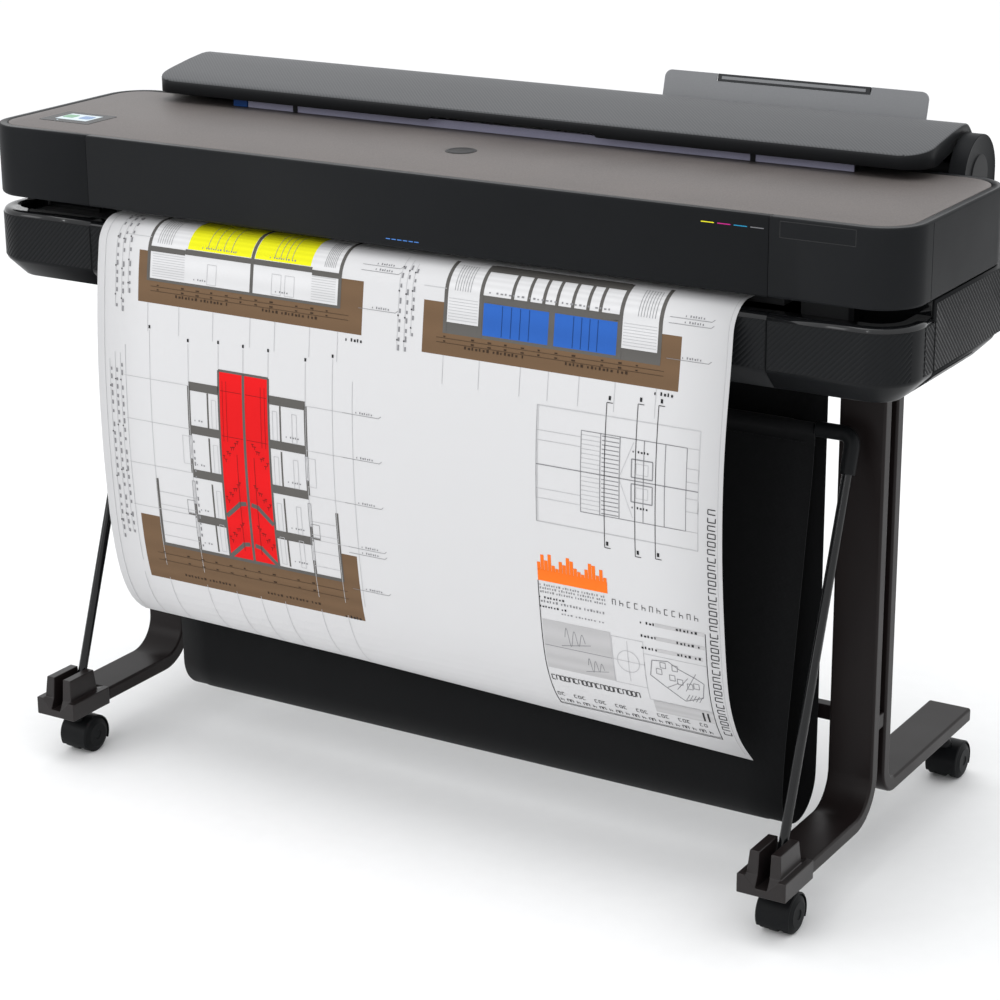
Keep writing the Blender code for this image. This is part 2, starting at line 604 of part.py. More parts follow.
def make_belt_drive():
    """A belt loop behind the carriage, round a motor pulley at the right and an idler at the left."""
    for side, name in ((1, "motor_pulley"), (-1, "idler_pulley")):
        x = side * PULLEY_X
        low, high = (x, BELT_Y, BELT_Z - BELT_HEIGHT), (x, BELT_Y, BELT_Z + BELT_HEIGHT)
        pulley = rod(name, low, high, PULLEY_RADIUS, STEEL, 20, roughness=0.3, metallic=0.8,
                     origin=(x, BELT_Y, BELT_Z))
        boolean(pulley, cutter_rod(low, high, 0.0025, 12))
    rod("carriage_motor", (PULLEY_X, BELT_Y, 0.780), (PULLEY_X, BELT_Y, 0.8345), 0.019, DARK, 24,
        roughness=0.4, metallic=0.6)
    axle = rod("cut_axle", (PULLEY_X, BELT_Y, 0.83), (PULLEY_X, BELT_Y, 0.850), 0.0020, GREY, 12)
    boolean(bpy.data.objects["carriage_motor"], as_cutter(axle), "UNION")
    radius = PULLEY_RADIUS + 0.0010
    loop = []
    for side in (1, -1):
        for turn in range(9):
            angle = math.radians(-90 + 180 * turn / 8) + (0 if side == 1 else math.pi)
            loop.append((side * PULLEY_X + radius * math.cos(angle), BELT_Y + radius * math.sin(angle)))
    bm = bmesh.new()
    row = [bm.verts.new((x, y, BELT_Z - BELT_HEIGHT / 2)) for x, y in loop]
    edges = [bm.edges.new((a, b)) for a, b in zip(row, row[1:] + row[:1])]
    swept = bmesh.ops.extrude_edge_only(bm, edges=edges)["geom"]
    moved = [item for item in swept if isinstance(item, bmesh.types.BMVert)]
    bmesh.ops.translate(bm, verts=moved, vec=(0, 0, BELT_HEIGHT))
    bmesh.ops.recalc_face_normals(bm, faces=bm.faces)
    solidify(add("drive_belt", bm, BLACK, roughness=0.8), 0.0012, 0.0)


def make_paper_path():
    half = CENTRE_X[1] - 0.006
    box("platen", (-half, half), (-0.175, -0.040), (0.7470, PAPER_Z - 0.0016), DARK, bevel=0.001)
    axis_z = PAPER_Z - 0.0008 - FEED_RADIUS
    rod("feed_roller", (-half, FEED_Y, axis_z), (half, FEED_Y, axis_z), FEED_RADIUS, GREY, 24,
        roughness=0.8, origin=(0, FEED_Y, axis_z))
    pinch_z = PAPER_Z + 0.0008 + PINCH_RADIUS
    rod("pinch_roller", (-half, FEED_Y, pinch_z), (half, FEED_Y, pinch_z), PINCH_RADIUS, BLACK, 16,
        roughness=0.8, origin=(0, FEED_Y, pinch_z))


def print_profile():
    """The sheet in section: from the roll, level over the platen, out over the lip and down in a long curl."""
    take_off = math.radians(235)
    reach = ROLL_RADIUS + 0.0015
    start = (ROLL_Y + reach * math.cos(take_off), ROLL_Z + reach * math.sin(take_off))
    feed_in = [start, (0.070, 0.7800), (0.040, 0.7665), (0.015, PAPER_Z), (-0.060, PAPER_Z)]
    over_lip = arc((-0.212, 0.7216), 0.039, 90, 176, 5)
    fall = [(-0.2545, 0.690), (-0.2635, 0.600), (-0.2660, 0.520), (-0.2630, 0.430), (-0.2500, 0.315)]
    curl = [(-0.2340, 0.254), (-0.2030, 0.2095), (-0.1640, 0.184)]
    return feed_in + over_lip + fall + curl


def make_print():
    span = (-MEDIA_WIDTH / 2, MEDIA_WIDTH / 2)
    strip("printed_sheet", print_profile(), span, PAPER_THICKNESS, WHITE, roughness=0.7)


def make_electronics():
    box("base_pan", (-0.480, 0.610), (-0.200, 0.055), (0.6630, 0.6650), STEEL, roughness=0.4, metallic=0.9)
    box("main_board", (0.150, 0.400), (-0.160, 0.040), (0.6700, 0.6720), GREEN, roughness=0.5)
    box("ink_cartridge_set", (-0.630, -0.500), (-0.170, -0.050), (0.6680, 0.7400), BLACK, bevel=0.002)


make_casings()
make_top()
make_rear_housing()
make_stand()
make_casters()
make_catcher_frame()
make_catcher_cloth()
make_roll()
make_roll_cover()
make_sheet_tray()
make_carriage()
make_belt_drive()
make_paper_path()
make_print()
make_electronics()
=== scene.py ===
"""The finish and fine shapes of a large format plotter on its stand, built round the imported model.

Metres, +Z up, front towards -Y. Places come from the CAD nodes' boxes wherever a node has them.
"""

import math

import bmesh
import bpy
from mathutils import Matrix, Vector


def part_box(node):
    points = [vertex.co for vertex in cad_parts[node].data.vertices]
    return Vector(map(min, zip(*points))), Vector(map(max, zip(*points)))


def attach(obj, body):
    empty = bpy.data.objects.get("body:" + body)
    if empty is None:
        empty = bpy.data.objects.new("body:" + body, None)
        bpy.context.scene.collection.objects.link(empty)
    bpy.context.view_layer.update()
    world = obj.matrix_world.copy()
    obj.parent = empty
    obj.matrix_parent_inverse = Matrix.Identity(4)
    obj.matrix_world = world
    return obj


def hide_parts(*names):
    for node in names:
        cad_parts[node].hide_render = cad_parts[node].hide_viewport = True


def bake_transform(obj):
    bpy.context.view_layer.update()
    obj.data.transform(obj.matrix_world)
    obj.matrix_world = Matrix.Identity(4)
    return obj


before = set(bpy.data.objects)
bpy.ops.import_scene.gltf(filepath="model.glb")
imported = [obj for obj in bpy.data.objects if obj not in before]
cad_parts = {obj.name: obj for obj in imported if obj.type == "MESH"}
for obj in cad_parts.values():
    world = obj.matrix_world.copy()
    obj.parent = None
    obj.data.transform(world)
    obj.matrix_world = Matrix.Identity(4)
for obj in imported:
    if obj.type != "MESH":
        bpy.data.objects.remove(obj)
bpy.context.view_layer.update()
SCENE = bpy.context.scene


def span_of(*nodes):
    """The lowest and highest corners that hold all the given CAD nodes."""
    lows, highs = zip(*(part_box(node) for node in nodes))
    low = Vector([min(corner[i] for corner in lows) for i in range(3)])
    high = Vector([max(corner[i] for corner in highs) for i in range(3)])
    return low, high


SIDE_NAMES = {-1: "left", 1: "right"}

# Casings
CORNER, CORNER_STEPS = 0.055, 14
RIM = 0.012
WALL = 0.0035
CHAMFER = 0.026
LIP_TOP, LIP_DEPTH, LIP_ROUND = 0.751, 0.022, 0.0065
SLOT_END, SLOT_END_INNER = -0.150, 0.535
UPPER_LOW, UPPER_HIGH = span_of("upper_left_cover", "upper_right_cover")
LOWER_LOW, LOWER_HIGH = span_of("lower_left_cover", "lower_right_cover", "ink_door")
FRONT = UPPER_LOW.y
WEB_HALF, WEB_TOP = 0.466, 0.840

# Ribs pressed into the lower casing, which run on round most of each front corner
CORNER_REACH = CORNER * math.radians(66)
RIB_PITCH, RIB_HEIGHT, RIB_SINK = 0.0050, 0.0008, 0.0008
RIB_BOTTOM, RIB_TOP = LOWER_LOW.z + CHAMFER + 0.003, LIP_TOP - LIP_ROUND - 0.0005

# Stand and casters
BAR = 0.019
FRONT_BEND, REAR_BEND = 0.052, 0.030
HOOD_RADIUS, HOOD_SKIN, HOOD_WEB_HALF, HOOD_LOWEST = 0.0275, 0.0022, 0.0062, 0.006

# Catcher
ROD_FOOT, ROD_TOP = Vector((0.534, -0.252, 0.086)), Vector((0.534, -0.078, 0.575))
ROD_RADIUS, SLEEVE_RADIUS, ELBOW_REACH, ELBOW_BEND = 0.006, 0.0095, 0.048, 0.015
CLOTH_HALF, CLOTH_BACK, REAR_BAR_Z = 0.484, -0.043, 0.640
CLOTH_THICKNESS, HEM_WIDTH = 0.0012, 0.030
LEFT_HEM_DRAW = 0.050

# Roll, tray and print
ROLL_Y, ROLL_Z = 0.138, 0.852
TRAY_FOOT, TRAY_LEAN = Vector((0.0, 0.2015, 0.866)), math.radians(15)
PAPER_WIDTH, PAPER_Z, PAPER_THICKNESS = 0.914, 0.7606, 0.0003

# Light
HORIZON_LIGHT, ZENITH_LIGHT = 1.0, 1.22
MATT = 0.10


# ---- Finishes ----------------------------------------------------------------------------------


def new_finish(name, colour, roughness, metallic=0.0, sockets=None):
    """A material whose even values sit on the shader's own sockets."""
    made = bpy.data.materials.new(name)
    made.use_nodes = True
    values = {"Base Color": (*colour, 1.0), "Roughness": roughness, "Metallic": metallic, **(sockets or {})}
    for socket, value in values.items():
        shader_of(made).inputs[socket].default_value = value
    return made


def shader_of(finish):
    return finish.node_tree.nodes["Principled BSDF"]


def add_node(finish, kind, inputs=None, **settings):
    made = finish.node_tree.nodes.new(kind)
    for name, value in settings.items():
        setattr(made, name, value)
    for name, value in (inputs or {}).items():
        made.inputs[name].default_value = value
    return made


def join(finish, out, into):
    finish.node_tree.links.new(out, into)


def surface_point(finish, kind="Object"):
    return add_node(finish, "ShaderNodeTexCoord").outputs[kind]


def noise(finish, point, scale, detail=3.0):
    made = add_node(finish, "ShaderNodeTexNoise", {"Scale": scale, "Detail": detail})
    join(finish, point, made.inputs["Vector"])
    return made.outputs["Fac"]


def spread_over(finish, value, low, high, start=0.3, end=0.7):
    """Turns a value that runs from start to end into one that runs from low to high."""
    limits = {"From Min": start, "From Max": end, "To Min": low, "To Max": high}
    made = add_node(finish, "ShaderNodeMapRange", limits)
    join(finish, value, made.inputs["Value"])
    return made.outputs["Result"]


def combine(finish, operation, a, b):
    """One value worked out of two, each a number or another node's output."""
    made = add_node(finish, "ShaderNodeMath", operation=operation)
    for socket, value in zip(made.inputs, (a, b)):
        if isinstance(value, float):
            socket.default_value = value
        else:
            join(finish, value, socket)
    return made.outputs["Value"]


def relief(finish, height, strength, distance):
    """Raises the surface by a value, as bumps in its shading."""
    made = add_node(finish, "ShaderNodeBump", {"Strength": strength, "Distance": distance})
    join(finish, height, made.inputs["Height"])
    join(finish, made.outputs["Normal"], shader_of(finish).inputs["Normal"])


def tone(finish, value, dark, light):
    """Colours the surface from dark to light as the value goes from 0 to 1."""
    made = add_node(finish, "ShaderNodeMix", data_type="RGBA")
    ends = [socket for socket in made.inputs if socket.type == "RGBA"]
    ends[0].default_value, ends[1].default_value = (*dark, 1.0), (*light, 1.0)
    join(finish, value, made.inputs["Factor"])
    mixed = [socket for socket in made.outputs if socket.type == "RGBA"][0]
    join(finish, mixed, shader_of(finish).inputs["Base Color"])


def scaled(colour, by):
    return tuple(channel * by for channel in colour)


def moulded(name, colour, roughness, grain=1500.0, depth=0.00006, spread=0.12, sockets=None):
    """Moulded or painted skin: a fine grain in relief, and soft patches in its colour and gloss."""
    finish = new_finish(name, colour, roughness, sockets={"Specular IOR Level": MATT, **(sockets or {})})
    point = surface_point(finish)
    fine, patches = noise(finish, point, grain, 2.0), noise(finish, point, 9.0, 4.0)
    relief(finish, fine, 0.5, depth)
    from_grain, from_patches = spread_over(finish, fine, 0.0, 0.6), spread_over(finish, patches, 0.0, 0.4)
    mixed = combine(finish, "ADD", from_grain, from_patches)
    tone(finish, mixed, scaled(colour, 1.0 - spread), scaled(colour, 1.0 + spread))
    gloss = spread_over(finish, patches, roughness - 0.04, roughness + 0.04)
    join(finish, gloss, shader_of(finish).inputs["Roughness"])
    return finish


def even_lines(finish, point, pitch, turn):
    """Even parallel lines across a turned X axis, as a value from 0 to 1."""
    mapping = add_node(finish, "ShaderNodeMapping", {"Rotation": (0.0, 0.0, turn)})
    join(finish, point, mapping.inputs["Vector"])
    wave = add_node(finish, "ShaderNodeTexWave", {"Scale": math.pi / (10.0 * pitch), "Distortion": 0.0})
    join(finish, mapping.outputs["Vector"], wave.inputs["Vector"])
    return wave.outputs["Fac"]


def hatched(name, colour, roughness):
    """A fine slanting hatch pressed into grey plastic."""
    finish = new_finish(name, colour, roughness, sockets={"Specular IOR Level": 0.30})
    lines = even_lines(finish, surface_point(finish), 0.0036, math.radians(-45))
    relief(finish, lines, 0.4, 0.00025)
    tone(finish, lines, scaled(colour, 0.78), scaled(colour, 1.16))
    return finish


def woven(name, colour, pitch=0.0016):
    """Plain weave that follows the cloth's own width and length, from its UV map in metres."""
    sheen = {"Sheen Weight": 0.05, "Sheen Roughness": 0.5, "Specular IOR Level": 0.15}
    finish = new_finish(name, colour, 0.88, sockets=sheen)
    point = surface_point(finish, "UV")
    warp, weft = even_lines(finish, point, pitch, 0.0), even_lines(finish, point, pitch, math.radians(90))
    weave = combine(finish, "MULTIPLY", warp, weft)
    relief(finish, weave, 0.6, 0.0003)
    tone(finish, weave, scaled(colour, 0.6), scaled(colour, 1.9))
    return finish


def paper(name, colour):
    """Coated paper: a very fine tooth and a slight change of tone across the sheet."""
    finish = new_finish(name, colour, 0.62, sockets={"Specular IOR Level": 0.2})
    point = surface_point(finish)
    relief(finish, noise(finish, point, 1800.0), 0.15, 0.00003)
    tone(finish, noise(finish, point, 3.0), scaled(colour, 0.985), scaled(colour, 1.01))
    return finish


def printed_ink(name, colour):
    """Ink on paper, with the faint banding that the print head leaves."""
    finish = new_finish("ink_" + name, colour, 0.55, sockets={"Specular IOR Level": 0.08})
    bands = even_lines(finish, surface_point(finish), 0.0045, math.radians(90))
    tone(finish, bands, scaled(colour, 0.95), scaled(colour, 1.03))
    return finish


def lit(name, colour, glow):
    """A small backlit panel under glass."""
    light = {"Emission Color": (*colour, 1.0), "Emission Strength": glow}
    finish = new_finish(name, colour, 0.15, sockets=light)
    tone(finish, noise(finish, surface_point(finish), 60.0), scaled(colour, 0.95), colour)
    return finish


def brushed(name, colour, roughness):
    """Drawn or turned metal, with fine lines along its length."""
    finish = new_finish(name, colour, roughness, 1.0)
    lines = noise(finish, surface_point(finish), 700.0, 2.0)
    relief(finish, lines, 0.2, 0.00003)
    tone(finish, lines, scaled(colour, 0.9), scaled(colour, 1.08))
    return finish


CASING = moulded("casing_satin_black", (0.0120, 0.0127, 0.0138), 0.42, sockets={"Specular IOR Level": 0.045})
# The top rim: black plastic whose base colour is a little lighter than the casing's as painted reflection;
# its higher specular level is its own gloss.
RIM_PAINTED_SHEEN = moulded("casing_rim_painted_sheen", (0.018, 0.0187, 0.020), 0.38, sockets={"Specular IOR Level": 0.25})
LOWER = moulded("lower_casing_black", (0.0105, 0.0111, 0.0120), 0.32, sockets={"Specular IOR Level": 0.075})
LIP = moulded(
    "lip_gloss_black", (0.0060, 0.0063, 0.0070), 0.12, depth=0.00001,
    sockets={"Specular IOR Level": 0.30, "Coat Weight": 0.3, "Coat Roughness": 0.05},
)
TAUPE = moulded(
    "top_taupe_grained", (0.112, 0.099, 0.094), 0.50, grain=480.0, depth=0.00040, spread=0.24,
    sockets={"Specular IOR Level": 0.35},
)
COVER_TOP = hatched("roll_cover_hatched", (0.066, 0.068, 0.072), 0.46)
COVER_LIP = moulded("roll_cover_lip", (0.014, 0.0147, 0.0160), 0.40)
TRAY = moulded("sheet_tray_grey", (0.185, 0.189, 0.197), 0.40, sockets={"Specular IOR Level": 0.4})
GRIP = moulded("tray_grip_dark", (0.035, 0.036, 0.038), 0.35)
GLASS = moulded(
    "screen_glass_black", (0.006, 0.006, 0.007), 0.25, depth=0.0, sockets={"Specular IOR Level": 0.12}
)
STAND = moulded(
    "stand_brown_paint", (0.0105, 0.0078, 0.0077), 0.33, grain=1900.0, depth=0.00005,
    sockets={"Specular IOR Level": 0.14},
)
FOOT = moulded("foot_brown_plastic", (0.0115, 0.0088, 0.0087), 0.30, sockets={"Specular IOR Level": 0.32})
BLACK = moulded("fittings_black", (0.0068, 0.0073, 0.0080), 0.42)
ROD = moulded(
    "rod_gloss_black", (0.0050, 0.0053, 0.0058), 0.10, depth=0.0, sockets={"Specular IOR Level": 0.35}
)
WHEEL = moulded("wheel_tread_black", (0.0055, 0.0060, 0.0066), 0.50)
CLOTH = woven("catcher_cloth_weave", (0.0036, 0.0039, 0.0044))
PAPER = paper("paper_white", (0.600, 0.598, 0.605))
BLUE = moulded("flange_blue", (0.010, 0.045, 0.170), 0.35)
# The roll's paper as seen under the cover's lip: a dimmed, bluish white that is painted shade.
PAPER_IN_PAINTED_SHADE = moulded("guide_lavender", (0.25, 0.245, 0.33), 0.35)
STEEL = brushed("rail_steel", (0.50, 0.50, 0.51), 0.22)
PAN = brushed("pan_steel", (0.42, 0.42, 0.43), 0.40)
MOTOR = brushed("motor_case", (0.10, 0.10, 0.11), 0.40)
RUBBER = moulded("roller_rubber", (0.030, 0.030, 0.031), 0.75, depth=0.0001)
BELT = moulded("belt_rubber", (0.012, 0.012, 0.012), 0.70)
BOARD = moulded("board_green", (0.010, 0.080, 0.030), 0.40)
INNER = moulded("inner_dark_grey", (0.050, 0.051, 0.053), 0.45)
DISC = moulded("disc_dark", (0.030, 0.029, 0.029), 0.30)
STITCH = moulded("stitch_thread", (0.012, 0.0125, 0.0135), 0.80)
SCREEN_PALE = lit("screen_pale", (0.42, 0.50, 0.54), 0.25)
SCREEN_GREEN = lit("screen_green", (0.03, 0.22, 0.08), 0.15)
SCREEN_BLUE = lit("screen_blue", (0.04, 0.14, 0.34), 0.15)
MARK_BLUE = lit("touch_mark_blue", (0.03, 0.14, 0.42), 0.25)

FINISH_OF_NODE = {
    STEEL: ["guide_rail", "motor_pulley", "idler_pulley"],
    MOTOR: ["carriage_motor"],
    BELT: ["drive_belt"],
    RUBBER: ["feed_roller", "pinch_roller"],
    BOARD: ["main_board"],
    PAN: ["base_pan"],
    INNER: ["carriage", "printhead", "service_station", "platen", "ink_cartridge_set"],
    BLACK: ["power_inlet", "power_button"],
    ROD: ["catcher_rear_bar"],
}
DASHES = {
    "yellow": (0.75, 0.70, 0.02),
    "magenta": (0.50, 0.02, 0.22),
    "cyan": (0.02, 0.24, 0.42),
    "grey": (0.16, 0.16, 0.17),
}


def dress_inner_nodes():
    """The CAD nodes whose shapes stay get their finishes."""
    for finish, nodes in FINISH_OF_NODE.items():
        for node in nodes:
            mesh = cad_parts[node].data
            mesh.materials.clear()
            mesh.materials.append(finish)


# ---- Modelling helpers -------------------------------------------------------------------------


def piece(name, bm, finishes, body, nodes=(), wall=0.0, edge=0.0, edge_steps=2, crease=35):
    """Makes a finished object of a bmesh. It rides on a body and stands for the given CAD nodes."""
    mesh = bpy.data.meshes.new(name)
    bm.to_mesh(mesh)
    bm.free()
    mesh.shade_smooth()
    made = bpy.data.objects.new(name, mesh)
    SCENE.collection.objects.link(made)
    for finish in finishes if isinstance(finishes, (list, tuple)) else [finishes]:
        mesh.materials.append(finish)
    if wall:
        shell = made.modifiers.new("Wall", "SOLIDIFY")
        shell.thickness, shell.offset, shell.use_even_offset = wall, -1.0, True
    if edge:
        rounding = made.modifiers.new("Edges", "BEVEL")
        rounding.width, rounding.segments, rounding.limit_method = edge, edge_steps, "ANGLE"
        rounding.angle_limit, rounding.harden_normals = math.radians(crease), True
    else:
        mesh.set_sharp_from_angle(angle=math.radians(crease))
    if body:
        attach(made, body)
    if nodes:
        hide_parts(*nodes)
    return made


def block(low, high, bm=None):
    bm = bm or bmesh.new()
    low, high = Vector(low), Vector(high)
    size, centre = high - low, (low + high) / 2
    place = Matrix.Translation(centre) @ Matrix.Diagonal((*size, 1.0))
    bmesh.ops.create_cube(bm, size=1.0, matrix=place)
    return bm


def verts_in(geometry):
    return [item for item in geometry if isinstance(item, bmesh.types.BMVert)]


def edges_in(geometry):
    return [item for item in geometry if isinstance(item, bmesh.types.BMEdge)]


def middle_of(face):
    return face.calc_center_median()


def facing(bm, direction):
    """The flat faces that look in a direction."""
    bm.normal_update()
    return [face for face in bm.faces if face.normal.dot(Vector(direction)) > 0.999]


def edges_along(bm, axis):
    return [e for e in bm.edges if abs((e.verts[0].co - e.verts[1].co).normalized()[axis]) > 0.99]


def rim_of(faces):
    """The edges round the outside of some faces."""
    inside = set(faces)
    return [edge for face in faces for edge in face.edges if not all(f in inside for f in edge.link_faces)]


def soften(bm, edges, width, steps=3):
    bmesh.ops.bevel(
        bm, geom=list(edges), offset=width, segments=steps, affect="EDGES", profile=0.5, material=-1
    )


def round_uprights(bm, radius, steps=8):
    soften(bm, edges_along(bm, 2), radius, steps)


def drop(bm, faces):
    """Takes faces away, with the edges and points that only they used."""
    bmesh.ops.delete(bm, geom=faces, context="FACES")


def close_holes(bm):
    bmesh.ops.holes_fill(bm, edges=[e for e in bm.edges if e.is_boundary], sides=0)


def cut(bm, axis, at, keep=0):
    """Cuts the mesh across an axis. keep is 1 for the higher side, -1 for the lower, 0 for both."""
    point, normal = Vector((0, 0, 0)), Vector((0, 0, 0))
    point[axis], normal[axis] = at, -1.0 if keep > 0 else 1.0
    everything = bm.verts[:] + bm.edges[:] + bm.faces[:]
    bmesh.ops.bisect_plane(
        bm, geom=everything, dist=1e-6, plane_co=point, plane_no=normal, clear_outer=bool(keep)
    )


def trim(bm, axis, low, high, close=False):
    """Keeps what lies between two planes across an axis, and can close the cuts."""
    for at, keep in ((low, 1), (high, -1)):
        cut(bm, axis, at, keep)
        if close:
            close_holes(bm)


def slab(name, low, high, finish, body, nodes=(), edge=0.0008, corner=0.0):
    """A small block with rounded edges, and with rounded upright corners if asked."""
    bm = block(low, high)
    if corner:
        round_uprights(bm, corner)
    return piece(name, bm, finish, body, nodes, edge=edge)


def swept(path, x_low, x_high):
    """An open surface: a line of (y, z) points swept along X."""
    bm = bmesh.new()
    row = [bm.verts.new((x_low, y, z)) for y, z in path]
    edges = [bm.edges.new(pair) for pair in zip(row, row[1:])]
    moved = bmesh.ops.extrude_edge_only(bm, edges=edges)["geom"]
    bmesh.ops.translate(bm, verts=verts_in(moved), vec=(x_high - x_low, 0, 0))
    return bm


def plate(outline, x_low, x_high):
    """A closed plate: an outline of (y, z) points extruded along X."""
    bm = bmesh.new()
    face = bm.faces.new([bm.verts.new((x_low, y, z)) for y, z in outline])
    moved = bmesh.ops.extrude_face_region(bm, geom=[face])["geom"]
    bmesh.ops.translate(bm, verts=verts_in(moved), vec=(x_high - x_low, 0, 0))
    bmesh.ops.recalc_face_normals(bm, faces=bm.faces)
    return bm


def turned(profile, origin, direction, steps=48, bm=None):
    """Points (along, radius) turned about an axis that starts at origin. What the mesh held is tagged."""
    bm = bm or bmesh.new()
    row = [bm.verts.new((radius, 0.0, along)) for along, radius in profile]
    edges = [bm.edges.new(pair) for pair in zip(row, row[1:])]
    bmesh.ops.spin(
        bm, geom=row + edges, cent=(0, 0, 0), axis=(0, 0, 1), angle=math.tau, steps=steps, use_merge=True
    )
    bmesh.ops.remove_doubles(bm, verts=[v for v in bm.verts if not v.tag], dist=1e-6)
    fresh = [v for v in bm.verts if not v.tag]
    turn = Vector((0, 0, 1)).rotation_difference(Vector(direction)).to_matrix().to_4x4()
    bmesh.ops.transform(bm, matrix=Matrix.Translation(origin) @ turn, verts=fresh)
    for vert in fresh:
        vert.tag = True
    bmesh.ops.recalc_face_normals(bm, faces=bm.faces)
    return bm


def barrel(length, radius, soft=0.0008):
    """The profile of a closed cylinder with softened ends."""
    start = [(0, 0), (0, radius - soft), (soft, radius)]
    return start + [(length - along, out) for along, out in reversed(start)]


def arc(centre, radius, start, end, steps):
    """Points (y, z) from one angle to another, in degrees, counted from +Y towards +Z."""
    turns = [math.radians(start + (end - start) * i / steps) for i in range(steps + 1)]
    return [(centre[0] + radius * math.cos(t), centre[1] + radius * math.sin(t)) for t in turns]


def level(points, at):
    """The height of a broken line of (place, height) points."""
    for (a, low), (b, high) in zip(points, points[1:]):
        if at <= b:
            return low + (high - low) * max(0.0, at - a) / (b - a)
    return points[-1][1]


# ---- Camera, light and floor -------------------------------------------------------------------


def make_camera():
    """A long lens from the front right, a little above the top."""
    lens = bpy.data.cameras.new("camera")
    lens.sensor_width, lens.lens = 36.0, 96.92
    lens.shift_x, lens.shift_y = -0.0050, -0.0014
    lens.clip_end = 200.0
    camera = bpy.data.objects.new("camera", lens)
    place = Matrix.Translation((1.75881, -2.88866, 1.51342))
    turn = Matrix.Rotation(math.radians(31.28), 4, "Z") @ Matrix.Rotation(math.radians(71.53), 4, "X")
    roll = Matrix.Rotation(-0.0075, 4, "Z")
    camera.matrix_world = place @ turn @ roll
    SCENE.collection.objects.link(camera)
    SCENE.camera = camera


def softbox(name, place, aim, size, power):
    """A rectangular lamp turned towards a point."""
    lamp = bpy.data.lights.new(name, "AREA")
    lamp.shape, lamp.size, lamp.size_y, lamp.energy = "RECTANGLE", *size, power
    made = bpy.data.objects.new(name, lamp)
    way = Vector(aim) - Vector(place)
    made.matrix_world = Matrix.Translation(place) @ way.to_track_quat("-Z", "Y").to_matrix().to_4x4()
    SCENE.collection.objects.link(made)


def sky_of_light(name, horizon, zenith):
    """A plain white surround that grows brighter from the horizon up."""
    world = bpy.data.worlds.new(name)
    world.use_nodes = True
    nodes, links = world.node_tree.nodes, world.node_tree.links
    way, split = nodes.new("ShaderNodeTexCoord"), nodes.new("ShaderNodeSeparateXYZ")
    rise = nodes.new("ShaderNodeMapRange")
    rise.inputs["To Min"].default_value, rise.inputs["To Max"].default_value = horizon, zenith
    links.new(way.outputs["Generated"], split.inputs["Vector"])
    links.new(split.outputs["Z"], rise.inputs["Value"])
    background = nodes["Background"]
    background.inputs["Color"].default_value = (0.98, 0.99, 1.0, 1.0)
    links.new(rise.outputs["Result"], background.inputs["Strength"])
    return world


def make_studio():
    """Plain white surroundings with three lamps, so that the black casings show their shape."""
    SCENE.world = sky_of_light("studio", HORIZON_LIGHT, ZENITH_LIGHT)
    SCENE.view_settings.view_transform = "Standard"
    softbox("overhead", (-0.3, -0.2, 3.6), (0.0, 0.0, 0.6), (2.6, 2.0), 34)
    softbox("front_left", (-2.4, -3.4, 2.0), (-0.2, 0.0, 0.5), (1.6, 1.8), 20)
    softbox("strip", (0.4, -3.4, 2.6), (0.0, 0.0, 0.6), (0.14, 2.0), 9)
    make_floor()


def make_floor():
    """A wide pale floor that is there only for the render."""
    bm = bmesh.new()
    bmesh.ops.create_grid(bm, x_segments=2, y_segments=2, size=60.0)
    mesh = bpy.data.meshes.new("floor")
    bm.to_mesh(mesh)
    bm.free()
    pale = moulded("floor_pale", (0.90, 0.90, 0.90), 0.8, grain=40.0, depth=0.0, spread=0.01)
    mesh.materials.append(pale)
    floor = bpy.data.objects.new("floor", mesh)
    SCENE.collection.objects.link(floor)


# ---- Casings -----------------------------------------------------------------------------------


def upper_skin():
    """The whole outer skin of the upper casing, open below and inside its top rim."""
    bm = block(UPPER_LOW, UPPER_HIGH)
    round_uprights(bm, CORNER, CORNER_STEPS)
    soften(bm, rim_of(facing(bm, (0, 0, -1))), 0.0045, 3)
    soften(bm, rim_of(facing(bm, (0, 0, 1))), 0.0030, 4)
    top = facing(bm, (0, 0, 1))
    rim = bmesh.ops.inset_region(bm, faces=top, thickness=RIM - 0.0030, use_even_offset=True)["faces"]
    # The rim faces take the second finish, whose lighter colour is painted reflection.
    for face in rim:
        face.material_index = 1
    drop(bm, top + facing(bm, (0, 0, -1)))
    return bm


def trim_to(bm, node):
    """Keeps what stands over a CAD node's box."""
    low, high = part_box(node)
    trim(bm, 0, low.x, high.x)
    trim(bm, 1, low.y, high.y)


def score(bm, axis, at, width, depth, side):
    """A fine V groove across one flat side, which faces along X."""
    for place in (at - width / 2, at, at + width / 2):
        cut(bm, axis, place)
    for vert in bm.verts:
        if abs(vert.co[axis] - at) < 1e-5 and abs(vert.co.x - side) < 1e-4:
            vert.co.x -= math.copysign(depth, side)


def make_upper_casing():
    """The end covers, the front cover and the bridge behind them, each cut from the same skin."""
    for node in ("upper_left_cover", "upper_right_cover", "front_cover", "rear_bridge"):
        bm = upper_skin()
        trim_to(bm, node)
        if node == "upper_right_cover":
            score(bm, 1, -0.165, 0.0014, 0.0010, UPPER_HIGH.x)
        if node == "rear_bridge":
            open_web_slot(bm)
        body = "front_cover" if node == "front_cover" else "frame"
        piece(f"{node}_skin", bm, [CASING, RIM_PAINTED_SHEEN], body, [node], wall=WALL)


def open_web_slot(bm):
    """Takes away the wall where the media passes from the roll."""
    for axis, at in ((0, -WEB_HALF), (0, WEB_HALF), (2, WEB_TOP)):
        cut(bm, axis, at)
    drop(bm, [f for f in bm.faces if abs(middle_of(f).x) < WEB_HALF and middle_of(f).z < WEB_TOP])


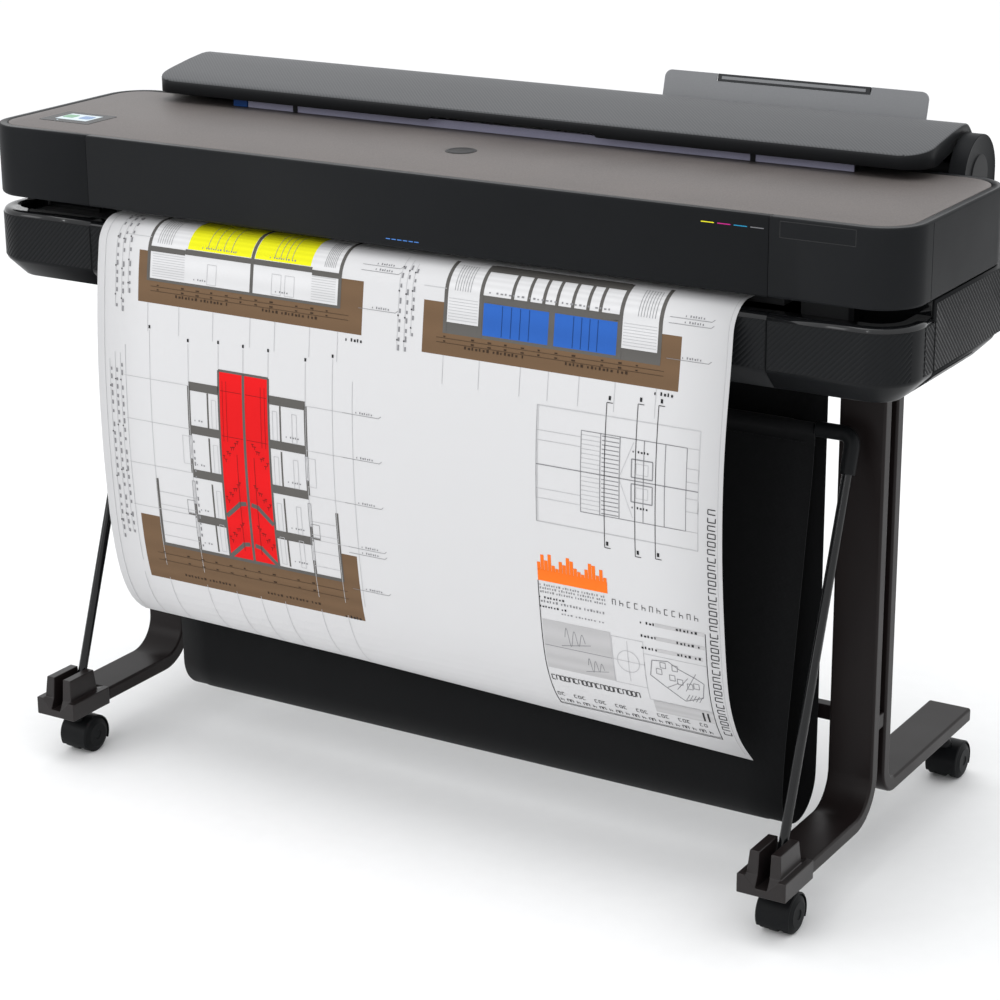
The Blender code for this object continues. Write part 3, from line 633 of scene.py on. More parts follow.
def make_top():
    """The grained plate set into the rim, with the touch screen and a plain round disc."""
    low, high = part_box("top_plate")
    bm = block(low + Vector((0.0005, 0.0005, 0)), high - Vector((0.0005, 0.0005, 0)))
    round_uprights(bm, CORNER - RIM - 0.0005, CORNER_STEPS)
    soften(bm, rim_of(facing(bm, (0, 0, 1))), 0.0009, 2)
    piece("top_plate_skin", bm, TAUPE, "frame", ["top_plate"])
    make_screen(high.z)
    x, y, up = -0.006, -0.083, (0, 0, 1)
    disc = turned(barrel(0.0009, 0.0200, 0.0005), (x, y, high.z - 0.0003), up, 64)
    piece("top_disc", disc, DISC, "frame")
    band = [(0, 0.0150), (0.0006, 0.0150), (0.0006, 0.0172), (0, 0.0172), (0, 0.0150)]
    ring = turned(band, (x, y, high.z + 0.0003), up, 64)
    piece("top_disc_ring", ring, INNER, "frame")


def make_screen(plate_top):
    """The touch screen's glass, the lit picture with two square icons, and a tiny light beside it."""
    low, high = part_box("touch_screen")
    top = high.z
    slab(
        "screen_glass", (low.x, low.y, plate_top - 0.002), high, GLASS, "frame",
        ["touch_screen"], edge=0.0003, corner=0.004,
    )
    slab(
        "screen_panel", (-0.597, -0.156, top - 0.0005), (-0.545, -0.120, top + 0.0002), SCREEN_PALE,
        "frame", edge=0.0001,
    )
    for colour, x, finish in (("green", -0.586, SCREEN_GREEN), ("blue", -0.559, SCREEN_BLUE)):
        slab(
            f"screen_icon_{colour}", (x - 0.009, -0.145, top - 0.0002), (x + 0.009, -0.127, top + 0.0004),
            finish, "frame", edge=0.0001, corner=0.003,
        )
    light = turned(barrel(0.0006, 0.0012, 0.0002), (-0.587, -0.1635, top - 0.0003), (0, 0, 1), 16)
    piece("screen_light", light, SCREEN_PALE, "frame")


def lower_skin(top, lip):
    """The outer skin of the lower casing up to a height, with or without the rounded lip on top."""
    bm = block(LOWER_LOW, (LOWER_HIGH.x, LOWER_HIGH.y, top))
    round_uprights(bm, CORNER, CORNER_STEPS)
    soften(bm, rim_of(facing(bm, (0, 0, -1))), CHAMFER, 1)
    turns = (LOWER_LOW.z, LOWER_LOW.z + CHAMFER)
    rounds = [e for e in bm.edges if any(all(abs(v.co.z - z) < 1e-5 for v in e.verts) for z in turns)]
    soften(bm, rounds, 0.0035, 3)
    above = facing(bm, (0, 0, 1))
    if lip:
        soften(bm, rim_of(above), LIP_ROUND, 6)
        above = facing(bm, (0, 0, 1))
        bmesh.ops.inset_region(bm, faces=above, thickness=LIP_DEPTH - LIP_ROUND, use_even_offset=True)
        for face in bm.faces:
            face.material_index = int(middle_of(face).z > top - LIP_ROUND)
    drop(bm, above)
    return bm


def make_lower_casing():
    """The ink door, the centre and both ends, under a glossy lip. The ends rise behind the slot's corner."""
    for node, body in (("ink_door", "ink_door"), ("lower_front_cover", "frame")):
        bm = lower_skin(LIP_TOP, lip=True)
        trim_to(bm, node)
        piece(f"{node}_skin", bm, [LOWER, LIP], body, [node], wall=WALL)
    for node, side in (("lower_left_cover", -1), ("lower_right_cover", 1)):
        low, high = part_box(node)
        lip = lower_skin(LIP_TOP, lip=True)
        trim_to(lip, node)
        cut(lip, 1, SLOT_END, -1)
        piece(f"{node}_lip", lip, [LOWER, LIP], "frame", wall=WALL)
        tall = lower_skin(high.z, lip=False)
        trim_to(tall, node)
        cut(tall, 1, SLOT_END, 1)
        piece(f"{node}_skin", tall, LOWER, "frame", [node], wall=WALL)
        make_slot_end(side, low, high)
        make_grip(side)


def make_slot_end(side, low, high):
    """The dark wall that closes the print slot behind its open corner."""
    left, right = sorted((side * SLOT_END_INNER, low.x + WALL if side < 0 else high.x - WALL))
    slab(
        f"slot_end_{SIDE_NAMES[side]}", (left, SLOT_END + 0.0005, LIP_TOP - 0.050),
        (right, SLOT_END + 0.005, high.z - 0.0005), LIP, "frame", edge=0.001,
    )


def make_grip(side):
    """A shallow finger grip moulded into the chamfer at an end."""
    middle = Vector((side * (LOWER_HIGH.x - CHAMFER / 2), -0.068, LOWER_LOW.z + CHAMFER / 2))
    turn = Matrix.Rotation(side * math.radians(45), 4, "Y")
    for name, half, reach, proud, finish in (
        ("edge", 0.0620, 0.0085, 0.0006, LIP),
        ("face", 0.0608, 0.0073, 0.0012, LOWER),
    ):
        bm = block((-0.0010, -half, -reach), (proud, half, reach))
        soften(bm, edges_along(bm, 0), reach * 0.6, 5)
        if side < 0:
            bmesh.ops.scale(bm, vec=(-1, 1, 1), verts=bm.verts)
            bmesh.ops.reverse_faces(bm, faces=bm.faces)
        bmesh.ops.transform(bm, matrix=Matrix.Translation(middle) @ turn, verts=bm.verts)
        piece(f"{SIDE_NAMES[side]}_grip_{name}", bm, finish, "frame")


def rib_panel(width, height, rising):
    """A thin closed panel in the XZ plane from the origin, with slanting ribs towards -Y."""
    slant = math.sqrt(0.5)
    start, stop = -height * slant, width * slant
    along, across = Vector((slant, 0, slant)), Vector((slant, 0, -slant))
    section = ((0.0, 0.0), (0.30, 1.0), (0.75, 1.0))
    count = int((stop - start) / RIB_PITCH) + 2
    row = [
        (start + (i + part) * RIB_PITCH, -RIB_HEIGHT * rise)
        for i in range(count)
        for part, rise in section
    ]
    outline = row + [(row[-1][0], RIB_SINK), (row[0][0], RIB_SINK)]
    bm = bmesh.new()
    face = bm.faces.new([bm.verts.new(across * a + Vector((0, y, 0))) for a, y in outline])
    moved = bmesh.ops.extrude_face_region(bm, geom=[face])["geom"]
    length = (width + height) * slant
    bmesh.ops.translate(bm, verts=verts_in(moved), vec=along * length)
    bmesh.ops.recalc_face_normals(bm, faces=bm.faces)
    trim(bm, 0, 0.0, width, close=True)
    trim(bm, 2, 0.0, height, close=True)
    if not rising:
        bmesh.ops.scale(bm, vec=(-1, 1, 1), verts=bm.verts)
        bmesh.ops.translate(bm, vec=(width, 0, 0), verts=bm.verts)
    bmesh.ops.recalc_face_normals(bm, faces=bm.faces)
    return bm


def wrap_corner(bm, start, way):
    """Bends what lies beyond the start round the casing's corner. way is 1 for the right corner."""
    steps = 18
    for i in range(1, steps):
        cut(bm, 0, start + way * i * CORNER_REACH / steps)
    for vert in bm.verts:
        beyond = (vert.co.x - start) * way
        if beyond > 0:
            turn, radius = beyond / CORNER, CORNER - vert.co.y
            vert.co.x = start + way * radius * math.sin(turn)
            vert.co.y = CORNER - radius * math.cos(turn)


def ribs(name, corner, size, turn, rising, body, wrap=0):
    """A rib panel placed with its lower left corner at a point, turned to face away from the casing."""
    bm = rib_panel(*size, rising)
    if wrap:
        wrap_corner(bm, size[0] - CORNER_REACH if wrap > 0 else CORNER_REACH, wrap)
    bmesh.ops.transform(
        bm, matrix=Matrix.Translation(corner) @ Matrix.Rotation(math.radians(turn), 4, "Z"), verts=bm.verts
    )
    piece(name, bm, LOWER, body)


def make_ribs():
    """The panels of ribs along the front and round its corners, and on the two end faces."""
    tall = RIB_TOP - RIB_BOTTOM
    gap = 0.0010
    corner_end = LOWER_HIGH.x - CORNER + CORNER_REACH
    door_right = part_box("ink_door")[1].x
    middle_left, middle_right = (corner.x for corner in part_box("lower_front_cover"))
    right_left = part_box("lower_right_cover")[0].x
    for name, start, stop, body, wrap in (
        ("ink_door_ribs", -corner_end, door_right - gap, "ink_door", -1),
        ("front_ribs", middle_left + gap, middle_right - gap, "frame", 0),
        ("right_front_ribs", right_left + gap, corner_end, "frame", 1),
    ):
        ribs(name, (start, FRONT, RIB_BOTTOM), (stop - start, tall), 0, True, body, wrap)
    near, back, high = FRONT + CORNER + 0.004, LOWER_HIGH.y - 0.004, LOWER_HIGH.z - 0.004
    for name, side, start, stop, height in (
        ("left_side_ribs", -1, SLOT_END + 0.003, back, high - RIB_BOTTOM),
        ("right_corner_ribs", 1, near, SLOT_END - gap, tall),
        ("right_side_ribs", 1, SLOT_END + 0.003, back, high - RIB_BOTTOM),
    ):
        corner = (side * LOWER_HIGH.x, start if side > 0 else stop, RIB_BOTTOM)
        ribs(name, corner, (stop - start, height), side * 90, side < 0, "frame")


def make_front_details():
    """The colour dashes, the touch mark and the blank badge recess."""
    mark_low, mark_high = FRONT - 0.0002, FRONT + 0.001
    for i, (name, colour) in enumerate(DASHES.items()):
        x, z = 0.4065 + i * 0.0206, 0.848
        slab(
            f"dash_{name}", (x, mark_low, z), (x + 0.0165, mark_high, z + 0.0011),
            moulded(f"dash_{name}", colour, 0.35), "front_cover", edge=0.0001,
        )
    for i in range(6):
        x, z = -0.020 + i * 0.0082, 0.7800
        slab(
            f"touch_mark_{i}", (x, mark_low, z), (x + 0.0062, mark_high, z + 0.0012),
            MARK_BLUE, "front_cover", edge=0.0001,
        )
    for name, grow, proud, finish in (
        ("badge_edge", 0.0006, 0.00012, LIP),
        ("badge_face", 0.0, 0.00022, CASING),
    ):
        low = (0.505 - grow, FRONT - proud, 0.841 - grow)
        high = (0.596 + grow, mark_high, 0.859 + grow)
        slab(name, low, high, finish, "frame", edge=0.0001)


# ---- Roll, cover, tray -------------------------------------------------------------------------


COVER_TOP_LINE = [
    (0.0165, 0.8912), (0.0185, 0.8934), (0.024, 0.8946), (0.060, 0.9020), (0.100, 0.9085), (0.130, 0.9121),
    (0.1395, 0.9123), (0.147, 0.9117), (0.153, 0.9096), (0.158, 0.9056), (0.172, 0.8920), (0.188, 0.8762),
    (0.1935, 0.8695), (0.196, 0.8620),
]
COVER_SKIRT_LINE = [
    (0.0165, 0.8755), (0.060, 0.8755), (0.1515, 0.8955), (0.160, 0.8930), (0.1955, 0.8500), (0.196, 0.8400),
]
COVER_NOTCH, NOTCH_SLOPE, NOTCH_RISE = (-0.1136, 0.1248), 0.006, 0.0050


def between_side_and_top(edge):
    slopes = sorted(face.normal.z for face in edge.link_faces)
    return len(slopes) == 2 and abs(slopes[0]) < 0.05 and slopes[1] > 0.3


def make_roll_cover():
    """The arched cover: hatched on top, with a plain lip and skirt, and a finger notch under the lip."""
    low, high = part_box("roll_cover")
    bm = block(low, high)
    soften(bm, [e for e in edges_along(bm, 2) if e.verts[0].co.y < low.y + 0.001], 0.034, 12)
    for y, _ in COVER_TOP_LINE[1:-1]:
        cut(bm, 1, y)
    drop(bm, facing(bm, (0, 0, -1)))
    left, right = COVER_NOTCH
    for x in (left - NOTCH_SLOPE, left, right, right + NOTCH_SLOPE):
        cut(bm, 0, x)
    middle = (low.z + high.z) / 2
    for vert in bm.verts:
        if vert.co.z > middle:
            vert.co.z = level(COVER_TOP_LINE, vert.co.y)
            continue
        vert.co.z = level(COVER_SKIRT_LINE, vert.co.y)
        if vert.co.y < low.y + 0.001 and left - 0.001 < vert.co.x < right + 0.001:
            vert.co.z += NOTCH_RISE
    bm.normal_update()
    soften(bm, filter(between_side_and_top, bm.edges), 0.0020, 3)
    bm.normal_update()
    for face in bm.faces:
        face.material_index = int(face.normal.z < 0.45)
    finishes = [COVER_TOP, COVER_LIP]
    piece("roll_cover_shell", bm, finishes, "roll_cover", ["roll_cover"], wall=0.0025)


def make_web_guide():
    """The strip under the cover's lip, coloured as the roll's paper in painted shade, with its black ribs and
    a blue clip.
    """
    low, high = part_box("web_guide")
    slab("web_guide_shaded_paper", low, high, PAPER_IN_PAINTED_SHADE, "frame", ["web_guide"], edge=0.0006)
    for i, x in enumerate((-0.34, 0.34)):
        slab(
            f"web_guide_rib_{i}", (x - 0.0035, low.y - 0.0012, low.z),
            (x + 0.0035, high.y + 0.010, high.z + 0.0006), BLACK, "frame", edge=0.0005,
        )
    slab(
        "web_guide_clip", (low.x - 0.024, low.y - 0.001, low.z),
        (low.x - 0.0008, high.y + 0.012, high.z + 0.001), BLUE, "frame", edge=0.0010,
    )


def make_roll():
    """The wound paper on its core, the two end flanges and the spindle."""
    along = Vector((1, 0, 0))
    low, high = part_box("paper_roll")
    width, radius, core, soft = high.x - low.x, (high.z - low.z) / 2, 0.0255, 0.0005
    wound = [
        (0, core), (0, radius - soft), (soft, radius), (width - soft, radius), (width, radius - soft),
        (width, core), (0, core),
    ]
    bm = turned(wound, (low.x, ROLL_Y, ROLL_Z), along, 96)
    piece("paper_roll_wound", bm, PAPER, "roll", ["paper_roll"])
    for side, label in SIDE_NAMES.items():
        make_roll_flange(f"{label}_roll_flange", side)
    low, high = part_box("roll_spindle")
    length, pin, body, step, soft = high.x - low.x, 0.006, 0.0125, 0.018, 0.001
    end = [(0, 0), (0, pin - soft), (soft, pin), (step, pin), (step, body)]
    shape = end + [(length - place, out) for place, out in reversed(end)]
    bm = turned(shape, (low.x, ROLL_Y, ROLL_Z), along, 32)
    piece("roll_spindle_bar", bm, INNER, "roll", ["roll_spindle"])


def make_roll_flange(node, side):
    """A dished flange with a raised rim, and the hub that goes into the roll's core."""
    low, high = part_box(node)
    rim = (high.z - low.z) / 2
    face = (high.x if side > 0 else low.x, ROLL_Y, ROLL_Z)
    bore, hub, hub_end, thick, soft = 0.0130, 0.0250, 0.038, 0.0075, 0.0006
    dish = [(0, bore), (0, 0.020), (0.002, 0.021), (0.002, rim - 0.004), (0, rim - 0.003)]
    edge = [(0, rim - soft), (soft, rim), (0.0070, rim), (thick, rim - soft)]
    sleeve = [(thick, hub), (0.036, 0.0248), (hub_end, 0.0240), (hub_end, bore), (0, bore)]
    bm = turned(dish + edge + sleeve, face, (-side, 0, 0), 64)
    piece(f"{node}_moulding", bm, BLUE, "roll", [node])


def make_brackets():
    """The arched uprights at the ends of the roll, each with a recess in its outer face."""
    for side, label in SIDE_NAMES.items():
        node = f"{label}_roll_bracket"
        low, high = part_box(node)
        radius = (high.y - low.y) / 2
        foot = [(high.y, low.z), (ROLL_Y - 0.042, low.z), (ROLL_Y - 0.042, 0.800)]
        bm = plate(arc((ROLL_Y, ROLL_Z), radius, 180, 0, 36) + foot, low.x, high.x)
        outer = facing(bm, (side, 0, 0))
        bmesh.ops.inset_region(bm, faces=outer, thickness=0.0060, use_even_offset=True)
        recessed = list({v for f in outer for v in f.verts})
        bmesh.ops.translate(bm, vec=(-side * 0.0016, 0, 0), verts=recessed)
        piece(f"{node}_arch", bm, CASING, "frame", [node], edge=0.0012, edge_steps=3)
        face = high.x - 0.0026 if side > 0 else low.x + 0.0026
        disc = turned(barrel(0.0022, 0.026, 0.0010), (face, ROLL_Y, ROLL_Z), (side, 0, 0), 64)
        piece(f"{node}_disc", disc, BLACK, "frame")


def leaning(bm):
    """Leans a panel drawn upright at the tray's foot back to its place."""
    turn = Matrix.Translation(TRAY_FOOT) @ Matrix.Rotation(-TRAY_LEAN, 4, "X")
    bmesh.ops.transform(bm, matrix=turn, verts=bm.verts)
    return bm


def make_tray():
    """The leaning panel, open at its top edge where the extension's bar lies."""
    low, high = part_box("sheet_tray")
    half, bar_left, bar_right, bar_height = 0.0020, 0.197, 0.413, 0.0105
    top = (high.z - TRAY_FOOT.z - half * math.sin(TRAY_LEAN)) / math.cos(TRAY_LEAN)
    bm = block((low.x, -half, 0.004), (high.x, half, top))
    soften(bm, [e for e in edges_along(bm, 1) if e.verts[0].co.z > top - 0.001], 0.010, 8)
    for x in (bar_left, bar_right):
        cut(bm, 0, x)
    cut(bm, 2, top - bar_height)
    upper = [f for f in bm.faces if middle_of(f).z > top - bar_height]
    drop(bm, [f for f in upper if bar_left < middle_of(f).x < bar_right])
    close_holes(bm)
    bmesh.ops.recalc_face_normals(bm, faces=bm.faces)
    piece("sheet_tray_panel", leaning(bm), TRAY, "sheet_tray", ["sheet_tray"], edge=0.0007)
    make_tray_extension(bar_left + 0.0015, bar_right - 0.0015, half, top - bar_height, top)


def make_tray_extension(left, right, half, bar_low, top):
    """The plate that slides behind the panel, its bar, and the groove for a finger."""
    back = half + 0.0018
    bm = block((left, half + 0.0004, 0.013), (right, back, top - 0.001))
    block((left, -half - 0.0002, bar_low + 0.0006), (right, back, top), bm)
    piece(
        "tray_extension_panel", leaning(bm), GRIP, "tray_extension", ["tray_extension"],
        edge=0.0008,
    )
    bm = block((left + 0.006, -half - 0.0006, bar_low + 0.0035), (right - 0.006, -half, top - 0.0030))
    piece("tray_extension_groove", leaning(bm), TRAY, "tray_extension", edge=0.0003)


def make_rear_housing():
    """The deep housing behind the casings that carries the roll, open above and where the media passes."""
    low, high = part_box("rear_housing")
    opening = PAPER_Z + 0.0085
    bm = block(low, high)
    round_uprights(bm, 0.020, 8)
    soften(bm, rim_of(facing(bm, (0, 0, -1))), 0.015, 4)
    soften(bm, rim_of(facing(bm, (0, 0, 1))), 0.002, 2)
    drop(bm, facing(bm, (0, 0, 1)))
    for axis, at in ((0, -WEB_HALF), (0, WEB_HALF), (2, opening)):
        cut(bm, axis, at)
    front = [f for f in bm.faces if middle_of(f).y < low.y + 0.001]
    drop(bm, [f for f in front if abs(middle_of(f).x) < WEB_HALF and middle_of(f).z > opening])
    piece("rear_housing_shell", bm, LOWER, "frame", ["rear_housing"], wall=0.003)
    make_rear_panel(high.y)
    make_inlet_pins()


def make_rear_panel(back):
    """The flat panel on the housing's back, with two rows of air slots and its screws."""
    slab(
        "rear_panel", (-0.430, back - 0.001, 0.700), (0.430, back + 0.0012, 0.806), CASING, "frame",
        edge=0.0008,
    )
    for side, label in ((-1, "l"), (1, "r")):
        for i in range(14):
            x = side * (0.150 + i * 0.016)
            slab(
                f"air_slot_{label}_{i}", (x - 0.0028, back - 0.002, 0.735),
                (x + 0.0028, back + 0.0016, 0.785), LIP, "frame", edge=0.0006,
            )
    proud, sunk, reach = 0.0012, -0.002, 0.0038
    recess = [(0, 0), (0, 0.0012), (proud, 0.0014)]
    head = recess + [(proud, 0.0032), (0.0008, reach), (sunk, reach), (sunk, 0)]
    for i, x in enumerate((-0.415, 0.415)):
        screw = turned(head, (x, back + 0.0012, 0.715), (0, 1, 0), 24)
        piece(f"panel_screw_{i}", screw, STEEL, "frame")


def make_inlet_pins():
    """The three contacts inside the power inlet, the middle one higher."""
    low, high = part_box("power_inlet")
    middle = (low + high) / 2
    for i, (across, rise) in enumerate(((-0.0055, -0.002), (0.0, 0.002), (0.0055, -0.002))):
        x, y, z = middle.x + across, high.y - 0.014, middle.z + rise
        slab(
            f"inlet_pin_{i}", (x - 0.001, y, z - 0.0018), (x + 0.001, y + 0.010, z + 0.0018), STEEL, "frame",
            edge=0.0003,
        )


# ---- Stand and casters -------------------------------------------------------------------------


def leg_line(low, high, way, bend):
    """The middle of a bent bar that fills the given box, from its top round the bend to its tip."""
    half = BAR / 2
    upright, tip = (high.y - half, low.y) if way < 0 else (low.y + half, high.y)
    foot = low.z + half
    centre = (upright + way * bend, foot + bend)
    turns = [math.pi / 2 * i / 18 for i in range(19)]
    curve = [(centre[0] - way * bend * math.cos(a), centre[1] - bend * math.sin(a)) for a in turns]
    return [(upright, high.z)] + curve + [(tip, foot)]


def make_stand():
    """The four bent legs, their foot caps and the brace between the two sides."""
    for side in ("left", "right"):
        for node, way, bend in (("front_leg", -1, FRONT_BEND), ("rear_leg", 1, REAR_BEND)):
            low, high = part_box(f"{side}_{node}")
            bm = swept(leg_line(low, high, way, bend), low.x, high.x)
            leg = piece(
                f"{side}_{node}_bar", bm, STAND, "frame", [f"{side}_{node}"],
                edge=0.0034, edge_steps=4, crease=50, wall=BAR,
            )
            leg.modifiers["Wall"].offset = 0.0
        make_foot_cap(side)
    low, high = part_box("cross_brace")
    slab("cross_brace_bar", low, high, STAND, "frame", ["cross_brace"], edge=0.0020)


def make_foot_cap(side):
    """A moulded foot end: a stepped flange, and two tapering uprights beside the catcher rod's slot."""
    node = f"{side}_foot_cap"
    low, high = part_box(node)
    middle = (low.x + high.x) / 2
    flange, slot_floor, slot, reach = 0.091, 0.0765, 0.0075, 0.0225
    front, back = low.y + 0.007, high.y - 0.014
    bm = block(low, (high.x, high.y, flange))
    for x in (-reach, -slot, slot, reach):
        cut(bm, 0, middle + x)
    for y in (front, back):
        cut(bm, 1, y)
    top = facing(bm, (0, 0, 1))
    groove = [f for f in top if abs(middle_of(f).x - middle) < slot]
    sunk = bmesh.ops.extrude_face_region(bm, geom=groove)["geom"]
    bmesh.ops.translate(bm, verts=verts_in(sunk), vec=(0, 0, slot_floor - flange))
    drop(bm, [f for f in groove if f.is_valid])
    for way in (-1, 1):
        between = [f for f in facing(bm, (0, 0, 1)) if front < middle_of(f).y < back]
        base = [f for f in between if slot < way * (middle_of(f).x - middle) < reach]
        grown = bmesh.ops.extrude_face_region(bm, geom=base)["geom"]
        drop(bm, [f for f in base if f.is_valid])
        for vert in verts_in(grown):
            vert.co.z = high.z
            vert.co.x -= way * 0.0022 * (abs(vert.co.x - middle) > slot + 0.002)
            vert.co.y += 0.0030 if vert.co.y < (front + back) / 2 else -0.0030
    open_slot_ends(bm, middle, slot, low.y, high.y, slot_floor, flange)
    piece(f"{node}_moulding", bm, FOOT, "frame", [node], edge=0.0013, edge_steps=3)


def open_slot_ends(bm, middle, slot, front, back, floor, top):
    """Opens the slot through the flange's two ends."""
    for y in (front, back):
        ends = [f for f in bm.faces if abs(middle_of(f).y - y) < 1e-5 and abs(middle_of(f).x - middle) < slot]
        for vert in {v for f in ends for v in f.verts if v.co.z > top - 1e-5}:
            vert.co.z = floor
    bmesh.ops.remove_doubles(bm, verts=bm.verts, dist=1e-6)
    drop(bm, [f for f in bm.faces if f.calc_area() < 1e-10])
    bmesh.ops.recalc_face_normals(bm, faces=bm.faces)


def make_casters():
    """Twin-wheel casters: the wheels on their axle, under a hood that swivels."""
    tread = 0.0150
    for place in ("front_left", "front_right", "rear_left", "rear_right"):
        node = f"{place}_caster_wheels"
        low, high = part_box(node)
        hub = (low + high) / 2
        radius, half = (high.z - low.z) / 2, (high.x - low.x) / 2
        disc = [(0, 0), (0, 0.006), (-0.0012, 0.007), (-0.0012, radius - 0.008), (0, radius - 0.0065)]
        shoulder = [(0.0003, radius - 0.0035), (0.0030, radius)]
        inside = [(tread - 0.0030, radius), (tread, radius - 0.0030), (tread, 0)]
        outward = [(tread - along, out) for along, out in reversed(disc + shoulder + inside)]
        bm = bmesh.new()
        for side in (-1, 1):
            turned(outward, (hub.x + side * (half - tread), hub.y, hub.z), (side, 0, 0), 40, bm)
        axle = barrel(2 * half - 0.004, 0.003)
        turned(axle, (hub.x - half + 0.002, hub.y, hub.z), (1, 0, 0), 16, bm)
        piece(f"{node}_pair", bm, WHEEL, f"{place}_wheels", [node])
        make_hood(place, hub, half)


def make_hood(place, hub, half):
    """The rounded skin over the wheels, the web between them and the stem that swivels."""
    node = f"{place}_caster_hood"
    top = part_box(node)[1].z
    outer, inner, soft, reach = HOOD_RADIUS, HOOD_RADIUS - HOOD_SKIN, 0.0016, half - 0.0006
    bm = bmesh.new()
    ring = [(-reach, inner), (-reach, outer - soft), (-reach + soft, outer)]
    ring += [(-x, radius) for x, radius in reversed(ring)]
    turn = Matrix.Rotation(math.radians(-28), 4, "X")
    row = [bm.verts.new(turn @ Vector((x, radius, 0))) for x, radius in ring]
    edges = [bm.edges.new(pair) for pair in zip(row, row[1:] + row[:1])]
    bmesh.ops.spin(bm, geom=row + edges, cent=(0, 0, 0), axis=(1, 0, 0), angle=math.radians(236), steps=40)
    close_holes(bm)
    bmesh.ops.translate(bm, vec=hub, verts=bm.verts)
    for vert in bm.verts:
        vert.tag = True
    web = barrel(2 * HOOD_WEB_HALF, outer - 0.001)
    turned(web, (hub.x - HOOD_WEB_HALF, hub.y, hub.z), (1, 0, 0), 48, bm)
    for vert in bm.verts:
        vert.co.z = max(vert.co.z, HOOD_LOWEST)
    stem_foot = 0.0480
    length = top - stem_foot - 0.0005
    flare = [(0, 0), (0, 0.009), (0.004, 0.0095), (0.008, 0.0075), (0.010, 0.0062)]
    stem = flare + [(length, 0.0062), (length, 0)]
    turned(stem, (hub.x, hub.y - 0.014, stem_foot), (0, 0, 1), 32, bm)
    piece(f"{node}_shell", bm, BLACK, f"{place}_caster", [node])


# ---- Print catcher -----------------------------------------------------------------------------


def make_catcher_frame():
    """The two rods with their elbows and foot knuckles, and the front bar between them."""
    lean = (ROD_TOP - ROD_FOOT).normalized()
    for side, label in SIDE_NAMES.items():
        flip = Vector((side, 1, 1))
        foot, top, way = ROD_FOOT * flip, ROD_TOP * flip, lean * flip
        upper = top - way * (ELBOW_REACH - 0.004)
        rod = turned(barrel((upper - foot).length, ROD_RADIUS), foot, way, 32)
        piece(f"{label}_rod", rod, ROD, "catcher_frame", [f"{label}_catcher_rod"])
        bend = elbow(top, way, Vector((-side, 0, 0)))
        piece(f"{label}_elbow_bend", bend, BLACK, "catcher_frame", [f"{label}_elbow"])
        knuckle = turned(barrel(0.013, 0.0088, 0.002), foot - Vector((0.0065, 0, 0)), (1, 0, 0), 32)
        piece(f"{label}_rod_knuckle", knuckle, BLACK, "catcher_frame")
    low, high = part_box("catcher_front_bar")
    bar = turned(barrel(high.x - low.x, ROD_RADIUS), (low.x, ROD_TOP.y, ROD_TOP.z), (1, 0, 0), 32)
    piece("catcher_bar", bar, ROD, "catcher_frame", ["catcher_front_bar"])


def push(bm, ring, way, by, grow=1.0):
    """Extrudes a ring of edges some way, and widens or narrows its new end."""
    made = bmesh.ops.extrude_edge_only(bm, edges=ring)["geom"]
    verts = verts_in(made)
    bmesh.ops.translate(bm, vec=way * by, verts=verts)
    centre = sum((v.co for v in verts), Vector()) / len(verts)
    bmesh.ops.scale(bm, vec=(grow, grow, grow), space=Matrix.Translation(-centre), verts=verts)
    return edges_in(made)


def elbow(corner, way, inward):
    """A moulded bend: a sleeve up the rod, a quarter turn, and a sleeve along the bar."""
    soft = 0.0012
    straight = ELBOW_REACH - ELBOW_BEND - soft
    wider = SLEEVE_RADIUS / (SLEEVE_RADIUS - soft)
    turn = Vector((0, 0, 1)).rotation_difference(way).to_matrix().to_4x4()
    place = Matrix.Translation(corner - way * ELBOW_REACH) @ turn
    bm = bmesh.new()
    bmesh.ops.create_circle(bm, cap_ends=False, segments=32, radius=SLEEVE_RADIUS - soft, matrix=place)
    ring = push(bm, bm.edges[:], way, soft, wider)
    ring = push(bm, ring, way, straight)
    centre = corner + (inward - way) * ELBOW_BEND
    spun = bmesh.ops.spin(
        bm, geom=ring, cent=centre, axis=way.cross(inward), angle=math.radians(90), steps=14
    )["geom_last"]
    ring = push(bm, edges_in(spun), inward, straight)
    push(bm, ring, inward, soft, 1 / wider)
    bmesh.ops.remove_doubles(bm, verts=bm.verts, dist=1e-6)
    close_holes(bm)
    bmesh.ops.recalc_face_normals(bm, faces=bm.faces)
    return bm


def rounded(line, rounds=3):
    """Cuts a line's corners again and again, so that it runs smoothly. Its ends stay."""
    for _ in range(rounds):
        inner = []
        for a, b in zip(line, line[1:]):
            inner += [tuple(p + (q - p) * share for p, q in zip(a, b)) for share in (0.25, 0.75)]
        line = [line[0]] + inner[1:-1] + [line[-1]]
    return line


def even_steps(line, step):
    """The same line with its points a nearly even step apart, each with its distance from the start."""
    length = sum(math.dist(a, b) for a, b in zip(line, line[1:]))
    return even_rows(line, math.ceil(length / step))


def even_rows(line, count):
    """The same line as so many equal steps, each point with its distance from the start."""
    lengths = [0.0]
    for a, b in zip(line, line[1:]):
        lengths.append(lengths[-1] + math.dist(a, b))
    places = [lengths[-1] * i / count for i in range(count + 1)]
    ys, zs = list(zip(lengths, (p[0] for p in line))), list(zip(lengths, (p[1] for p in line)))
    return [(place, level(ys, place), level(zs, place)) for place in places]


